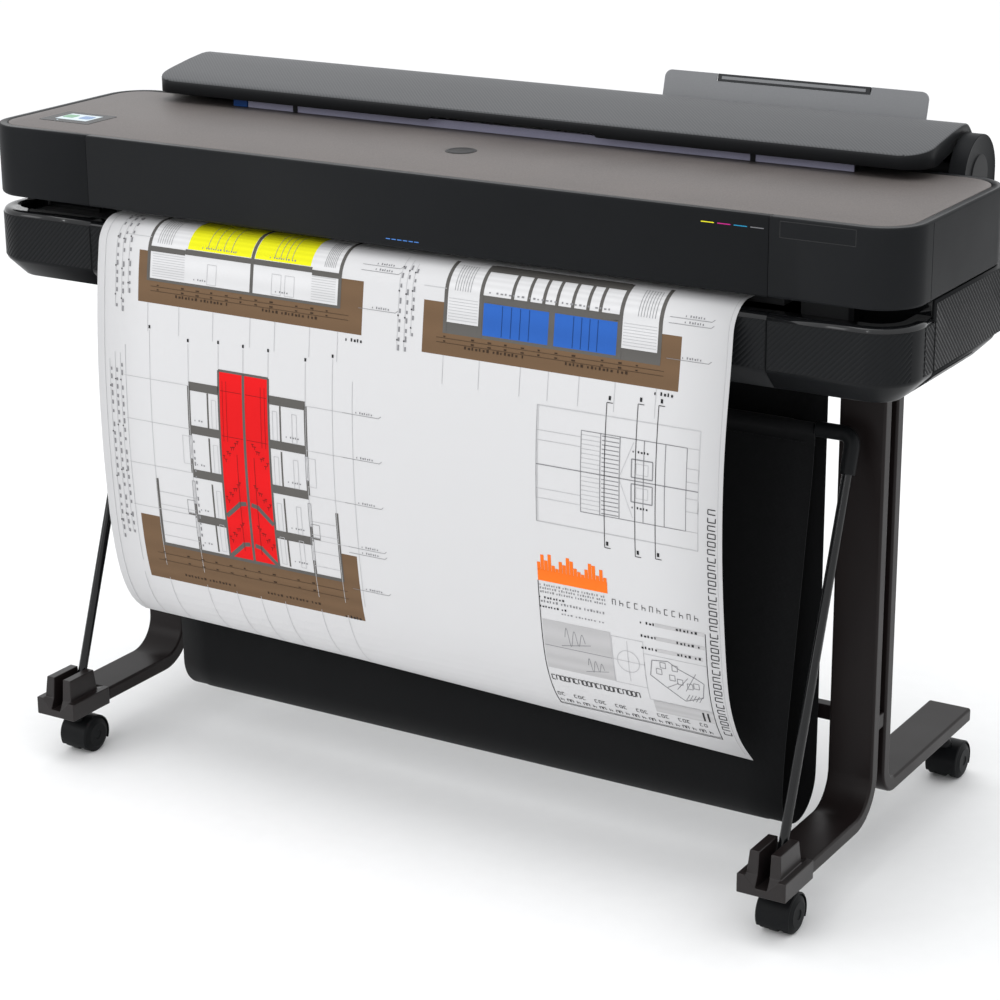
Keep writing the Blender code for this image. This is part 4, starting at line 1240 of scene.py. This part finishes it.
def cloth_line():
    """The hanging cloth in section: round the front bar, down to a slack belly and up to the rear bar."""
    loop = arc((ROD_TOP.y, ROD_TOP.z), ROD_RADIUS + 0.0016, -75, 250, 26)
    sewn = (ROD_TOP.y + 0.0010, ROD_TOP.z - 0.0220)
    down = [(-0.0795, 0.560), (-0.0830, 0.520), (-0.0960, 0.450), (-0.1240, 0.280), (-0.1400, 0.180)]
    belly = arc((-0.094, 0.118), 0.050, 180, 360, 10)
    up = [(CLOTH_BACK, 0.250), (CLOTH_BACK, 0.450), (CLOTH_BACK, REAR_BAR_Z + 0.006)]
    return [sewn, (ROD_TOP.y + 0.0008, ROD_TOP.z - 0.0100)] + loop + rounded(down + belly + up, 2)


def make_catcher_cloth():
    """The cloth, with thicker hems at its sides and faint folds down its front."""
    line = even_steps(cloth_line(), 0.0055)
    bm = swept([(y, z) for _, y, z in line], -CLOTH_HALF, CLOTH_HALF)
    inside = CLOTH_HALF - HEM_WIDTH
    for x in (-inside, -inside + 0.001, inside, inside - 0.001):
        cut(bm, 0, x)
    columns = 40
    for i in range(1, columns):
        cut(bm, 0, -inside + 2 * inside * i / columns)
    bm.normal_update()
    for vert in bm.verts:
        x, y, z = vert.co
        hem = 0.0008 if abs(x) > inside - 0.0005 else 0.0
        fold = 0.0014 * math.sin(x * 15.0 + 0.6) + 0.0007 * math.sin(x * 37.0 + z * 6.0)
        vert.co += vert.normal * (hem + fold * slack(y, z))
        vert.co.x += LEFT_HEM_DRAW * drawn_in(x, z)
    map_cloth(bm, line)
    cloth = piece("catcher_cloth_hung", bm, CLOTH, None, ["catcher_cloth"], crease=60)
    body = cloth.modifiers.new("Cloth", "SOLIDIFY")
    body.thickness, body.offset = CLOTH_THICKNESS, 0.0
    return cloth


def slack(y, z):
    """How far the cloth can fold here, from 0 to 1: only on its front, between the sleeve and the belly."""
    sleeve = ROD_TOP.z - 0.024
    in_front = y < CLOTH_BACK - 0.004
    return max(0.0, min(1.0, (sleeve - z) / 0.20, (z - 0.10) / 0.15)) if in_front else 0.0


def drawn_in(x, z):
    """How far the left hem is drawn in at this point, from 0 to 1: most of all low down and near the edge."""
    beside = max(0.0, min(1.0, (-x - CLOTH_HALF + 0.25) / 0.25))
    low = max(0.0, min(1.0, (0.42 - z) / 0.30))
    return beside * low * low * (3 - 2 * low)


def map_cloth(bm, line):
    """A UV map in metres: across the width, and along the section from the sleeve's seam."""
    layer = bm.loops.layers.uv.new("cloth")
    places = [(place, Vector((y, z))) for place, y, z in line]
    for face in bm.faces:
        for loop in face.loops:
            at = Vector((loop.vert.co.y, loop.vert.co.z))
            place = min(places, key=lambda item: (item[1] - at).length)[0]
            loop[layer].uv = (loop.vert.co.x, place)


def make_stitches():
    """A row of stitches across the cloth under the bar's sleeve."""
    bm = bmesh.new()
    pitch, stitch, margin = 0.0075, 0.0048, 0.006
    y, z = ROD_TOP.y - 0.0022 - CLOTH_THICKNESS / 2, ROD_TOP.z - 0.0185
    for i in range(int(2 * (CLOTH_HALF - margin) / pitch)):
        x = -CLOTH_HALF + margin + i * pitch
        block((x, y - 0.0006, z - 0.0005), (x + stitch, y + 0.0006, z + 0.0005), bm)
    piece("catcher_sleeve_stitches", bm, STITCH, "catcher_frame")


# ---- The print ---------------------------------------------------------------------------------


def print_line(fall):
    """The sheet in section: from the roll, level over the platen, over the lip and down through the fall."""
    take_off, reach = math.radians(235), 0.036 + 0.0015
    start = (ROLL_Y + reach * math.cos(take_off), ROLL_Z + reach * math.sin(take_off))
    feed_in = [start, (0.070, 0.7800), (0.040, 0.7665), (0.015, PAPER_Z), (-0.060, PAPER_Z)]
    over_lip = arc((-0.2095, 0.7216), 0.039, 90, 176, 10)
    return feed_in[:3] + rounded(feed_in[3:] + over_lip + fall, 2)


SHEET_ROWS = 480
LEFT_FALL = [
    (-0.2540, 0.690), (-0.2620, 0.600), (-0.2640, 0.520), (-0.2620, 0.430), (-0.2530, 0.320),
    (-0.2330, 0.247), (-0.1970, 0.205), (-0.1580, 0.194),
]
RIGHT_FALL = [
    (-0.2520, 0.690), (-0.2650, 0.600), (-0.2680, 0.520), (-0.2640, 0.430), (-0.2480, 0.310),
    (-0.2350, 0.262), (-0.2090, 0.214), (-0.1700, 0.174),
]
LEFT_LINE, RIGHT_LINE = (even_rows(print_line(fall), SHEET_ROWS) for fall in (LEFT_FALL, RIGHT_FALL))
PRINT_LENGTH = (LEFT_LINE[-1][0] + RIGHT_LINE[-1][0]) / 2


def sheet_point(u, row):
    """A point (y, z) of the sheet, whose fall changes evenly from its left edge to its right edge."""
    i = min(int(row), SHEET_ROWS - 1)
    ends = []
    for line in (LEFT_LINE, RIGHT_LINE):
        (_, y0, z0), (_, y1, z1) = line[i], line[i + 1]
        ends.append(Vector((y0, z0)).lerp(Vector((y1, z1)), row - i))
    return ends[0].lerp(ends[1], u / PAPER_WIDTH)


def on_sheet(u, v, lift):
    """A point of the print: u from its left edge, v up from its lower edge, lift off its printed face."""
    row = (PRINT_LENGTH - v) / PRINT_LENGTH * SHEET_ROWS
    here, ahead = sheet_point(u, row), sheet_point(u, min(row + 0.5, SHEET_ROWS))
    behind = sheet_point(u, max(row - 0.5, 0.0))
    way = (ahead - behind).normalized()
    return Vector((u - PAPER_WIDTH / 2, here.x + way.y * lift, here.y - way.x * lift))


# The inks in the order in which they lie on one another.
INKS = {
    "brown": (0.150, 0.092, 0.052), "mass": (0.105, 0.100, 0.094), "white": (0.635, 0.633, 0.640),
    "yellow": (0.72, 0.71, 0.012), "blue": (0.026, 0.110, 0.42), "red": (0.68, 0.008, 0.010),
    "orange": (0.86, 0.17, 0.018), "pale": (0.46, 0.455, 0.46), "wall": (0.105, 0.100, 0.094),
    "faint": (0.44, 0.44, 0.45), "fine": (0.22, 0.22, 0.23), "deep_red": (0.20, 0.010, 0.010),
    "deep_blue": (0.014, 0.045, 0.16), "deep_brown": (0.045, 0.028, 0.018), "black": (0.020, 0.020, 0.022),
}
FIRST_LAYER, LAYER_STEP = 0.00020, 0.00003
DRAWN = {ink: bmesh.new() for ink in INKS}


def fill(ink, u, v, turn=0.0):
    """A filled rectangle of ink, cut up along the sheet so that it can follow the curl."""
    rows = max(1, math.ceil((v[1] - v[0]) / 0.003))
    place = Matrix.Translation(((u[0] + u[1]) / 2, (v[0] + v[1]) / 2, 0)) @ Matrix.Rotation(turn, 4, "Z")
    size = Matrix.Diagonal((u[1] - u[0], v[1] - v[0], 1, 1))
    bmesh.ops.create_grid(DRAWN[ink], x_segments=1, y_segments=rows, size=0.5, matrix=place @ size)


def stroke(ink, start, end, width=0.0007):
    """A straight line of ink between two points (u, v)."""
    length = math.dist(start, end)
    u, v = (start[0] + end[0]) / 2, (start[1] + end[1]) / 2
    turn = math.atan2(end[1] - start[1], end[0] - start[0]) - math.pi / 2
    fill(ink, (u - width / 2, u + width / 2), (v - length / 2, v + length / 2), turn)


def across(ink, u, v, width=0.0007):
    stroke(ink, (u[0], v), (u[1], v), width)


def upright(ink, u, v, width=0.0007):
    stroke(ink, (u, v[0]), (u, v[1]), width)


def outline(ink, u, v, width=0.0007):
    """The four sides of a rectangle."""
    for at in v:
        across(ink, u, at, width)
    for at in u:
        upright(ink, at, v, width)


def ladder(ink, u, v, count, width=0.0007):
    """Evenly spaced level lines, as stairs and shutters are drawn."""
    for i in range(count):
        across(ink, u, v[0] + (v[1] - v[0]) * (i + 0.5) / count, width)


def comb(ink, u, v, count, width=0.0007):
    """Evenly spaced upright lines."""
    for i in range(count):
        upright(ink, u[0] + (u[1] - u[0]) * (i + 0.5) / count, v, width)


def uneven(span, pitch, share=0.62, seed=0):
    """Starts and ends of short dashes of uneven length, with a wider gap now and then."""
    at, i = span[0], seed
    while at < span[1] - pitch:
        yield i, at, at + pitch * share * (0.55 + 0.45 * ((i * 7) % 5) / 4)
        at += pitch if (i * 5) % 7 else pitch * 1.7
        i += 1


def ticks(ink, u, v, height, pitch, share=0.62, seed=0):
    """A row of dashes across the sheet, which stands for a line of notes."""
    for i, start, end in uneven(u, pitch, share, seed):
        fill(ink, (start, end), (v, v + height * (0.75 + 0.25 * ((i * 3) % 2))))


def ticks_up(ink, u, v, height, pitch, seed=0):
    """A row of dashes up the sheet."""
    for _, start, end in uneven(v, pitch, seed=seed):
        fill(ink, (u, u + height), (start, end))


# Frames in a unit square, with some of their sides left out, and an empty place.
LEFT_SIDE, RIGHT_SIDE = ((0, 0), (0, 1)), ((1, 0), (1, 1))
TOP_SIDE, LOW_SIDE = ((0, 1), (1, 1)), ((0, 0), (1, 0))
HALF_STEP = (((0, 0.5), (1, 0.5)), ((1, 0), (1, 0.5)))
MARKS = (
    (LEFT_SIDE, RIGHT_SIDE, TOP_SIDE, LOW_SIDE),
    (LEFT_SIDE, TOP_SIDE, LOW_SIDE),
    (LEFT_SIDE, RIGHT_SIDE, TOP_SIDE),
    (LEFT_SIDE, *HALF_STEP),
    (),
)


def marks(ink, at, size, pitch, count, seed=0, up=False, width=0.0010):
    """A row of simple open and closed frames, which stands for a line of large notes."""
    for i in range(count):
        for ends in MARKS[(i * i + seed) % len(MARKS)]:
            placed = [(i * pitch + a * size * 0.58, b * size) for a, b in ends]
            if up:
                placed = [(-high, along) for along, high in placed]
            stroke(ink, *[(at[0] + along, at[1] + high) for along, high in placed], width)


def draw_grid_lines(at, low, high):
    """Faint upright lines that carry the walls' places down the sheet."""
    for u in at:
        upright("faint", u, (low, high))


def draw_ground(u, v, inner, top_left, top_right):
    """Earth in section: a deep band with a raised bank at each end."""
    fill("brown", u, v)
    fill("brown", (u[0], inner[0]), (v[1], top_left))
    fill("brown", (inner[1], u[1]), (v[1], top_right))
    ticks("deep_brown", (u[0] + 0.060, u[0] + 0.150), v[0] + 0.011, 0.0035, 0.0052, seed=1)
    ticks("deep_brown", (u[1] - 0.150, u[1] - 0.060), v[0] + 0.011, 0.0035, 0.0052, seed=3)
    for share in (0.55, 0.75):
        at = v[0] + (v[1] - v[0]) * share
        across("deep_brown", (u[0] + 0.020, u[1] - 0.020), at, 0.0005)
        ticks("deep_brown", (u[0] + 0.03, u[1] - 0.03), at + 0.0012, 0.0020, 0.023, 0.22)


def draw_level_marks(u, levels):
    """A leader and a short note at each floor's level."""
    for v in levels:
        across("fine", (u - 0.018, u + 0.036), v, 0.0006)
        ticks("fine", (u + 0.002, u + 0.030), v + 0.0018, 0.0026, 0.0034)
        stroke("fine", (u + 0.036, v), (u + 0.0395, v + 0.003), 0.0006)


def draw_garage_section():
    """Upper left: a long low house in the ground, with two yellow rooms above its garage."""
    left, right, middle, floor, slab_v, top = 0.083, 0.378, 0.245, 0.5425, 0.583, 0.648
    draw_ground((0.067, 0.413), (0.5115, floor - 0.002), (left, right), 0.578, 0.578)
    fill("white", (left, right), (floor, top))
    for u in (left, middle, right):
        fill("wall", (u - 0.0024, u + 0.0024), (floor - 0.002, top + 0.006))
    across("wall", (left, right), floor - 0.0005, 0.0035)
    stairs, hall = 0.140, 0.336
    for start, end, lower in (
        (left, stairs, 0.0015), (stairs, middle, 0.0), (middle, hall, 0.0), (hall, right, 0.0030),
    ):
        across("wall", (start, end), slab_v - lower, 0.0068)
    across("wall", (stairs, hall), top, 0.008)
    for u in ((0.143, middle - 0.003), (middle + 0.003, 0.333)):
        fill("yellow", u, (slab_v + 0.004, top - 0.004))
        comb("fine", (u[0] + 0.025, u[1] - 0.025), (slab_v + 0.008, top - 0.010), 4)
        ticks("fine", (u[0] + 0.022, u[1] - 0.020), slab_v + 0.007, 0.0022, 0.0036)
    for u in ((left + 0.010, 0.118), (0.352, right - 0.008)):
        comb("fine", u, (slab_v + 0.006, top - 0.012), 7)
    for u in ((left + 0.006, stairs), (hall, right - 0.006)):
        ladder("faint", u, (floor + 0.003, slab_v - 0.006), 10)
    for u in (0.176, 0.276, 0.296):
        outline("faint", (u, u + 0.014), (floor + 0.003, slab_v - 0.012))
    for u in (0.155, 0.282):
        ticks("fine", (u, u + 0.022), floor + 0.006, 0.0024, 0.0036)
    draw_grid_lines((left, 0.133, 0.187, middle, 0.283, hall, right), 0.474, 0.5115)
    draw_level_marks(0.425, (0.5995, 0.592, 0.545))
    across("faint", (0.040, left), 0.596)


def draw_window_section():
    """Upper right: a house with a row of windows over two blue rooms."""
    left, right, floor, slab_v, top = 0.532, 0.822, 0.5300, 0.5790, 0.6180
    inner = (0.583, 0.768)
    middle = (inner[0] + inner[1]) / 2 + 0.003
    draw_ground((0.501, 0.850), (0.5030, floor + 0.001), (left, right), 0.567, 0.567)
    fill("mass", (left, right), (floor, slab_v + 0.004))
    fill("white", (left, inner[0] - 0.004), (0.5440, top + 0.004))
    fill("white", (inner[1] + 0.004, right), (0.5440, top + 0.004))
    for u in (left, inner[0] - 0.002, inner[1] + 0.002, right):
        fill("wall", (u - 0.0025, u + 0.0025), (floor, top + 0.008))
    for u in ((inner[0] + 0.002, middle - 0.004), (middle + 0.004, inner[1] - 0.002)):
        fill("blue", u, (floor + 0.004, slab_v - 0.006))
        comb("deep_blue", (u[0] + 0.020, u[1] - 0.020), (floor + 0.005, slab_v - 0.007), 4, 0.0009)
    fill("mass", inner, (slab_v - 0.006, slab_v + 0.003))
    fill("white", inner, (slab_v + 0.003, top - 0.004))
    fill("wall", inner, (top - 0.005, top + 0.009))
    for share in (0.22, 0.34, 0.45, 0.545, 0.66, 0.77, 0.86):
        u = inner[0] + (inner[1] - inner[0]) * share
        fill("wall", (u - 0.0022, u + 0.0022), (slab_v + 0.002, top - 0.003))
    ticks("fine", (inner[0] + 0.008, inner[1] - 0.008), slab_v + 0.006, 0.0022, 0.0058)
    for u in ((left + 0.010, inner[0] - 0.016), (inner[1] + 0.022, right - 0.006)):
        comb("fine", u, (slab_v + 0.004, top), 7)
    for u in ((left + 0.004, inner[0] - 0.006), (inner[1] + 0.006, right - 0.004)):
        ladder("faint", u, (0.5460, slab_v - 0.004), 8)
    draw_grid_lines((left, inner[0], 0.640, middle, 0.720, inner[1], right), 0.468, 0.5030)
    draw_level_marks(0.850, (0.588, 0.581, 0.540))
    across("faint", (0.500, left), 0.584)


def draw_tower_section():
    """Middle left: a tall house, with its red stair tower between four storeys of rooms."""
    left, right, ground = 0.148, 0.331, 0.1830
    tower, middle = (0.196, 0.274), 0.235
    levels = (0.2300, 0.2930, 0.3530, 0.4110)
    draw_ground((0.054, 0.398), (0.1270, ground - 0.002), (0.086, 0.374), 0.2210, 0.2210)
    across("wall", (0.086, 0.374), ground - 0.0005, 0.0045)
    for u in (0.0875, 0.3725):
        fill("wall", (u - 0.0022, u + 0.0022), (ground - 0.002, 0.2760))
    draw_storeys(left, right, tower, ground, levels)
    draw_tower(tower, middle, ground)
    for u in ((0.135, left), (right, 0.344)):
        outline("fine", u, (0.236, 0.254))
        across("wall", u, 0.2340, 0.0022)
        outline("faint", u, (levels[1] + 0.012, levels[1] + 0.050))
    draw_grid_lines((0.044, 0.086, left, 0.196, middle, 0.274, right, 0.372), 0.020, 0.131)
    for u in (0.046, 0.402):
        upright("faint", u, (0.150, 0.452))
    for u, low, high in (
        (0.086, 0.150, 0.476), (left, 0.150, 0.466), (tower[0], 0.440, 0.470), (middle, 0.440, 0.470),
        (tower[1], 0.440, 0.470), (right, 0.150, 0.466), (0.372, 0.150, 0.476),
    ):
        upright("faint", u, (low, high))
        fill("black", (u - 0.0014, u + 0.0014), (high + 0.002, high + 0.0062))
    for v in (levels[3], levels[2], levels[1], levels[0] + 0.003):
        across("faint", (0.044, left), v)
        across("faint", (right, 0.402), v)
    draw_level_marks(0.405, (levels[3], levels[2], levels[1], 0.2330, 0.2250, 0.1740))
    for v in (0.196, 0.216, 0.240, 0.258):
        across("faint", (0.090, left), v)
        across("faint", (right, 0.371), v)


def draw_storeys(left, right, tower, ground, levels):
    """Outer walls, floors and rooms on both sides of the tower."""
    for u in (left, right):
        fill("wall", (u - 0.0022, u + 0.0022), (levels[2] - 0.008, levels[3]))
        for low in (ground, levels[0], levels[1]):
            fill("wall", (u - 0.0022, u + 0.0022), (low, low + 0.020))
            outline("fine", (u - 0.0022, u + 0.0022), (low + 0.020, low + 0.052))
    for v in levels:
        for u in ((left, tower[0]), (tower[1], right)):
            across("wall", u, v, 0.0115)
    for v in (ground, *levels[:-1]):
        for u in (0.178, 0.292):
            fill("wall", (u - 0.0012, u + 0.0012), (v + 0.004, v + 0.052))
        for u in ((left + 0.008, 0.172), (0.300, right - 0.008)):
            ticks("fine", u, v + 0.012, 0.0024, 0.0038)
        for u in (0.184, 0.280, 0.310):
            outline("faint", (u, u + 0.007), (v + 0.006, v + 0.044))


def draw_tower(tower, middle, ground):
    """The red tower, with bent flights at its foot and steps above them."""
    top = 0.4380
    fill("red", tower, (ground, top))
    outline("wall", tower, (ground, top), 0.0032)
    fill("wall", (middle - 0.0020, middle + 0.0020), (ground, top))
    for side in (-1, 1):
        wide = tower[1] - middle - 0.002
        for v in (ground + 0.002, 0.2420):
            stroke("wall", (middle + side * 0.004, v + 0.022), (middle + side * 0.016, v + 0.020), 0.0058)
            stroke("wall", (middle + side * 0.014, v + 0.020), (middle + side * wide, v), 0.0058)
        for v in (0.206, 0.262, 0.318):
            for i in range(8):
                u = middle + side * (0.012 + i * 0.0032)
                high = v + 0.030 - i * 0.0032 * (1 if i % 2 else 1.4)
                across("deep_red", (u - 0.002, u + 0.002), high, 0.0011)
                upright("deep_red", u, (high - 0.004, high), 0.0009)
        upright("deep_red", middle + side * 0.0135, (0.196, 0.330), 0.0008)
        rail = middle + side * 0.030
        comb("deep_red", (rail - 0.006, rail + 0.006), (0.345, 0.425), 2, 0.0006)
        for v in (0.352, 0.412):
            across("deep_red", sorted((middle + side * 0.003, middle + side * 0.036)), v, 0.0006)


def draw_plan():
    """Right: the plan, with two stair flights, in thin lines."""
    u, v = (0.666, 0.883), (0.318, 0.462)
    middle = (v[0] + v[1]) / 2
    outline("faint", u, v, 0.0012)
    outline("faint", (u[0], u[0] + 0.002), v, 0.0006)
    inner = (0.727, 0.867)
    outline("fine", inner, (v[0] + 0.022, v[1] - 0.022), 0.0009)
    for at in (0.753, 0.779, 0.811, 0.839):
        upright("fine", at, (v[0] + 0.022, v[1] - 0.022), 0.0010)
    ladder("faint", (0.727, 0.753), (v[0] + 0.024, v[1] - 0.024), 17)
    ladder("fine", (0.755, 0.778), (v[0] + 0.022, v[1] - 0.022), 19, 0.0010)
    for side in (-1, 1):
        near, far = middle + side * 0.004, middle + side * 0.026
        outline("fine", (0.795, 0.823), sorted((near, far)), 0.0014)
        outline("faint", (0.801, 0.817), sorted((near + side * 0.004, far - side * 0.005)), 0.0007)
        outline("faint", (0.867, 0.883), sorted((near + side * 0.006, far)), 0.0008)
        stroke("faint", (0.780, near), (0.797, far + side * 0.020), 0.0006)
        across("faint", (u[0], 0.727), middle + side * 0.030)
        across("faint", (u[0], 0.727), middle + side * 0.042)
        across("faint", (0.841, u[1]), middle + side * 0.050)
        ticks("black", (0.796, 0.821), middle + side * 0.034, 0.0028, 0.0040)
    across("fine", u, middle, 0.0012)
    for at, low, high in ((0.759, 0.300, 0.478), (0.800, 0.296, 0.482), (0.827, 0.298, 0.484)):
        upright("black", at, (low, high), 0.0009)
        for end in (low, high):
            across("black", (at, at + 0.008), end, 0.0009)
            fill("black", (at + 0.002, at + 0.005), (end + 0.003, end + 0.008))


def draw_skyline(u, v):
    """A row of orange towers of uneven height on a low block."""
    fill("orange", u, (v, v + 0.015))
    heights = (10, 22, 14, 24, 8, 4, 16, 12, 24, 20, 10, 6, 3, 12, 22, 20, 6, 16, 5)
    step = (u[1] - u[0]) / len(heights)
    for i, height in enumerate(heights):
        fill("orange", (u[0] + i * step, u[0] + (i + 0.92) * step), (v + 0.014, v + 0.016 + height * 0.00085))


def draw_small_house(u, v):
    """A little outline drawing of a stepped house."""
    def at(across_share, up_share):
        return u[0] + (u[1] - u[0]) * across_share, v[0] + (v[1] - v[0]) * up_share

    walls = (
        (0.0, 0.55), (0.05, 0.95), (0.35, 1.0), (0.55, 0.85), (0.85, 0.70), (1.0, 0.60), (0.95, 0.20),
        (0.60, 0.0), (0.0, 0.55),
    )
    for start, end in zip(walls, walls[1:]):
        stroke("fine", at(*start), at(*end), 0.0011)
    openings = (
        (0.12, 0.62), (0.20, 0.80), (0.42, 0.78), (0.50, 0.45), (0.68, 0.38), (0.80, 0.42), (0.36, 0.52),
    )
    for a, b in openings:
        (left, low), (right, high) = at(a, b), at(a + 0.10, b + 0.14)
        outline("fine", (left, right), (low, high), 0.0009)
    for a in (0.30, 0.48, 0.64):
        stroke("fine", at(a, 0.30), at(a + 0.22, a + 0.18), 0.0008)
    for i in range(5):
        stroke("fine", at(0.62 + i * 0.06, 0.04), at(0.70 + i * 0.06, 0.22), 0.0008)


def draw_title_block():
    """Lower right: skyline, ruled notes, a pale signature panel, a locator cross and a small drawing."""
    left, right, low = 0.664, 0.889, 0.048
    draw_skyline((left, 0.760), 0.240)
    marks("black", (0.766, 0.2270), 0.0072, 0.0100, 12, seed=2, width=0.0008)
    for i, v in enumerate((0.2335, 0.2290, 0.2240)):
        ticks("fine", (left + 0.002, 0.760), v, 0.0028, 0.0034, seed=i)
    ticks("black", (left, left + 0.038), 0.2165, 0.0028, 0.0042)
    ticks("fine", (left + 0.002, 0.758), 0.2110, 0.0032, 0.0042, seed=2)
    ticks("black", (left, left + 0.040), 0.2040, 0.0026, 0.0040, seed=1)
    ticks("fine", (left + 0.030, 0.758), 0.1985, 0.0022, 0.0042, seed=4)
    for i, (v, reach) in enumerate(((0.2080, 0.075), (0.1900, 0.075), (0.1740, 0.072))):
        fill("pale", (0.822, 0.812 + reach), (v, v + 0.0050))
        ticks("black", (0.802, 0.826), v + 0.001, 0.0034, 0.0046, seed=i)
        ticks("black", (0.850, right - 0.003), v + 0.001, 0.0034, 0.0050, seed=i + 2)
    fill("pale", (left + 0.002, 0.760), (0.1180, 0.1880))
    across("fine", (left + 0.002, 0.760), 0.1520, 0.0008)
    draw_scribble(0.710, 0.168, 0.0165)
    draw_scribble(0.736, 0.134, 0.0130)
    draw_locator(0.782, 0.152, 0.0150)
    outline("faint", (0.761, 0.804), (0.118, 0.184), 0.0007)
    outline("faint", (0.804, right), (0.100, 0.168), 0.0007)
    draw_small_house((0.811, 0.883), (0.110, 0.164))
    fill("pale", (0.808, right), (0.0790, 0.0990))
    fill("black", (0.873, 0.8755), (0.0810, 0.0960))
    fill("black", (0.8795, 0.8820), (0.0810, 0.0960))
    marks("black", (left + 0.004, 0.0985), 0.0080, 0.0062, 20, seed=1, width=0.0011)
    marks("black", (left + 0.004, 0.0690), 0.0058, 0.0058, 36, width=0.0008)
    marks("black", (left + 0.004, 0.0555), 0.0058, 0.0046, 46, seed=3, width=0.0009)
    upright("black", left, (low, 0.240), 0.0010)
    upright("black", right, (low, 0.212), 0.0010)
    across("black", (left, right), low, 0.0012)
    across("black", (left, right), low + 0.0028, 0.0007)


def draw_scribble(u, v, size):
    """A loose pen flourish: a wave that dies away, on a slanting stroke."""
    count, waves = 22, 2.6
    points = []
    for i in range(count + 1):
        share = i / count
        swing = size * 0.85 * math.sin(math.tau * waves * share) * (1.0 - 0.5 * share)
        points.append((u + size * (share - 0.5) * 1.7, v + swing))
    for a, b in zip(points, points[1:]):
        stroke("fine", a, b, 0.0009)
    stroke("fine", (u - size * 1.2, v - size * 0.8), (u + size * 1.3, v - size * 0.3), 0.0009)


def draw_locator(u, v, radius):
    """A ring with a cross through it."""
    count = 28
    turns = [math.tau * i / count for i in range(count + 1)]
    ring = [(u + radius * math.cos(turn), v + radius * math.sin(turn)) for turn in turns]
    for a, b in zip(ring, ring[1:]):
        stroke("faint", a, b, 0.0008)
    across("faint", (u - radius * 1.5, u + radius * 1.5), v, 0.0007)
    upright("faint", u, (v - radius * 1.9, v + radius * 1.9), 0.0007)


def draw_margins():
    """Border lines, rows of measures beside the sections, and the long note up the right margin."""
    for u in (0.012, 0.9085):
        upright("faint", u, (0.012, 0.655), 0.0006)
    for u, low, high, seed in (
        (0.030, 0.500, 0.650, 0), (0.040, 0.495, 0.650, 2), (0.0505, 0.520, 0.640, 4),
        (0.020, 0.180, 0.430, 1), (0.029, 0.190, 0.440, 3), (0.0375, 0.190, 0.440, 5),
        (0.465, 0.500, 0.620, 2), (0.475, 0.500, 0.615, 1), (0.484, 0.520, 0.610, 0),
    ):
        upright("faint", u, (low, high), 0.0006)
        ticks_up("fine", u + 0.0012, (low, high), 0.0024, 0.0115, seed)
        for i in range(4):
            at = low + (high - low) * (i + 0.4) / 4
            fill("black", (u - 0.0009, u + 0.0009), (at, at + 0.0020))
    ticks_up("fine", 0.152, (0.190, 0.345), 0.0022, 0.0085)
    marks("black", (0.9055, 0.062), 0.0098, 0.0098, 32, seed=1, up=True, width=0.0012)
    for u, v in ((0.390, 0.5020), (0.820, 0.4955), (0.368, 0.1270)):
        ticks("black", (u, u + 0.028), v, 0.0042, 0.0046)


DRAWINGS = (
    draw_garage_section, draw_window_section, draw_tower_section, draw_plan, draw_title_block, draw_margins,
)


def make_print():
    """The hanging sheet, and the ink that lies on it."""
    for draw in DRAWINGS:
        draw()
    bm = bmesh.new()
    middle = Matrix.Translation((PAPER_WIDTH / 2, PRINT_LENGTH / 2, 0))
    size = Matrix.Diagonal((PAPER_WIDTH, PRINT_LENGTH, 1, 1))
    bmesh.ops.create_grid(bm, x_segments=8, y_segments=SHEET_ROWS, size=0.5, matrix=middle @ size)
    for vert in bm.verts:
        vert.co = on_sheet(vert.co.x, vert.co.y, 0.0)
    bmesh.ops.recalc_face_normals(bm, faces=bm.faces)
    sheet = piece("printed_sheet_hung", bm, PAPER, "frame", ["printed_sheet"], crease=80)
    body = sheet.modifiers.new("Paper", "SOLIDIFY")
    body.thickness, body.offset = PAPER_THICKNESS, 0.0
    inks = [
        make_ink(ink, colour, FIRST_LAYER + order * LAYER_STEP)
        for order, (ink, colour) in enumerate(INKS.items())
    ]


def make_ink(ink, colour, lift):
    """All that is drawn in one ink, laid on the hanging sheet."""
    bm = DRAWN[ink]
    for vert in bm.verts:
        vert.co = on_sheet(vert.co.x, vert.co.y, lift)
    bmesh.ops.recalc_face_normals(bm, faces=bm.faces)
    return piece(f"print_ink_{ink}", bm, printed_ink(ink, colour), "frame", crease=80)


make_camera()
make_studio()
dress_inner_nodes()
make_upper_casing()
make_top()
make_lower_casing()
make_ribs()
make_front_details()
make_roll_cover()
make_web_guide()
make_roll()
make_brackets()
make_tray()
make_rear_housing()
make_stand()
make_casters()
make_catcher_frame()
cloth = make_catcher_cloth()
make_stitches()
make_print()
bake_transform(cloth)
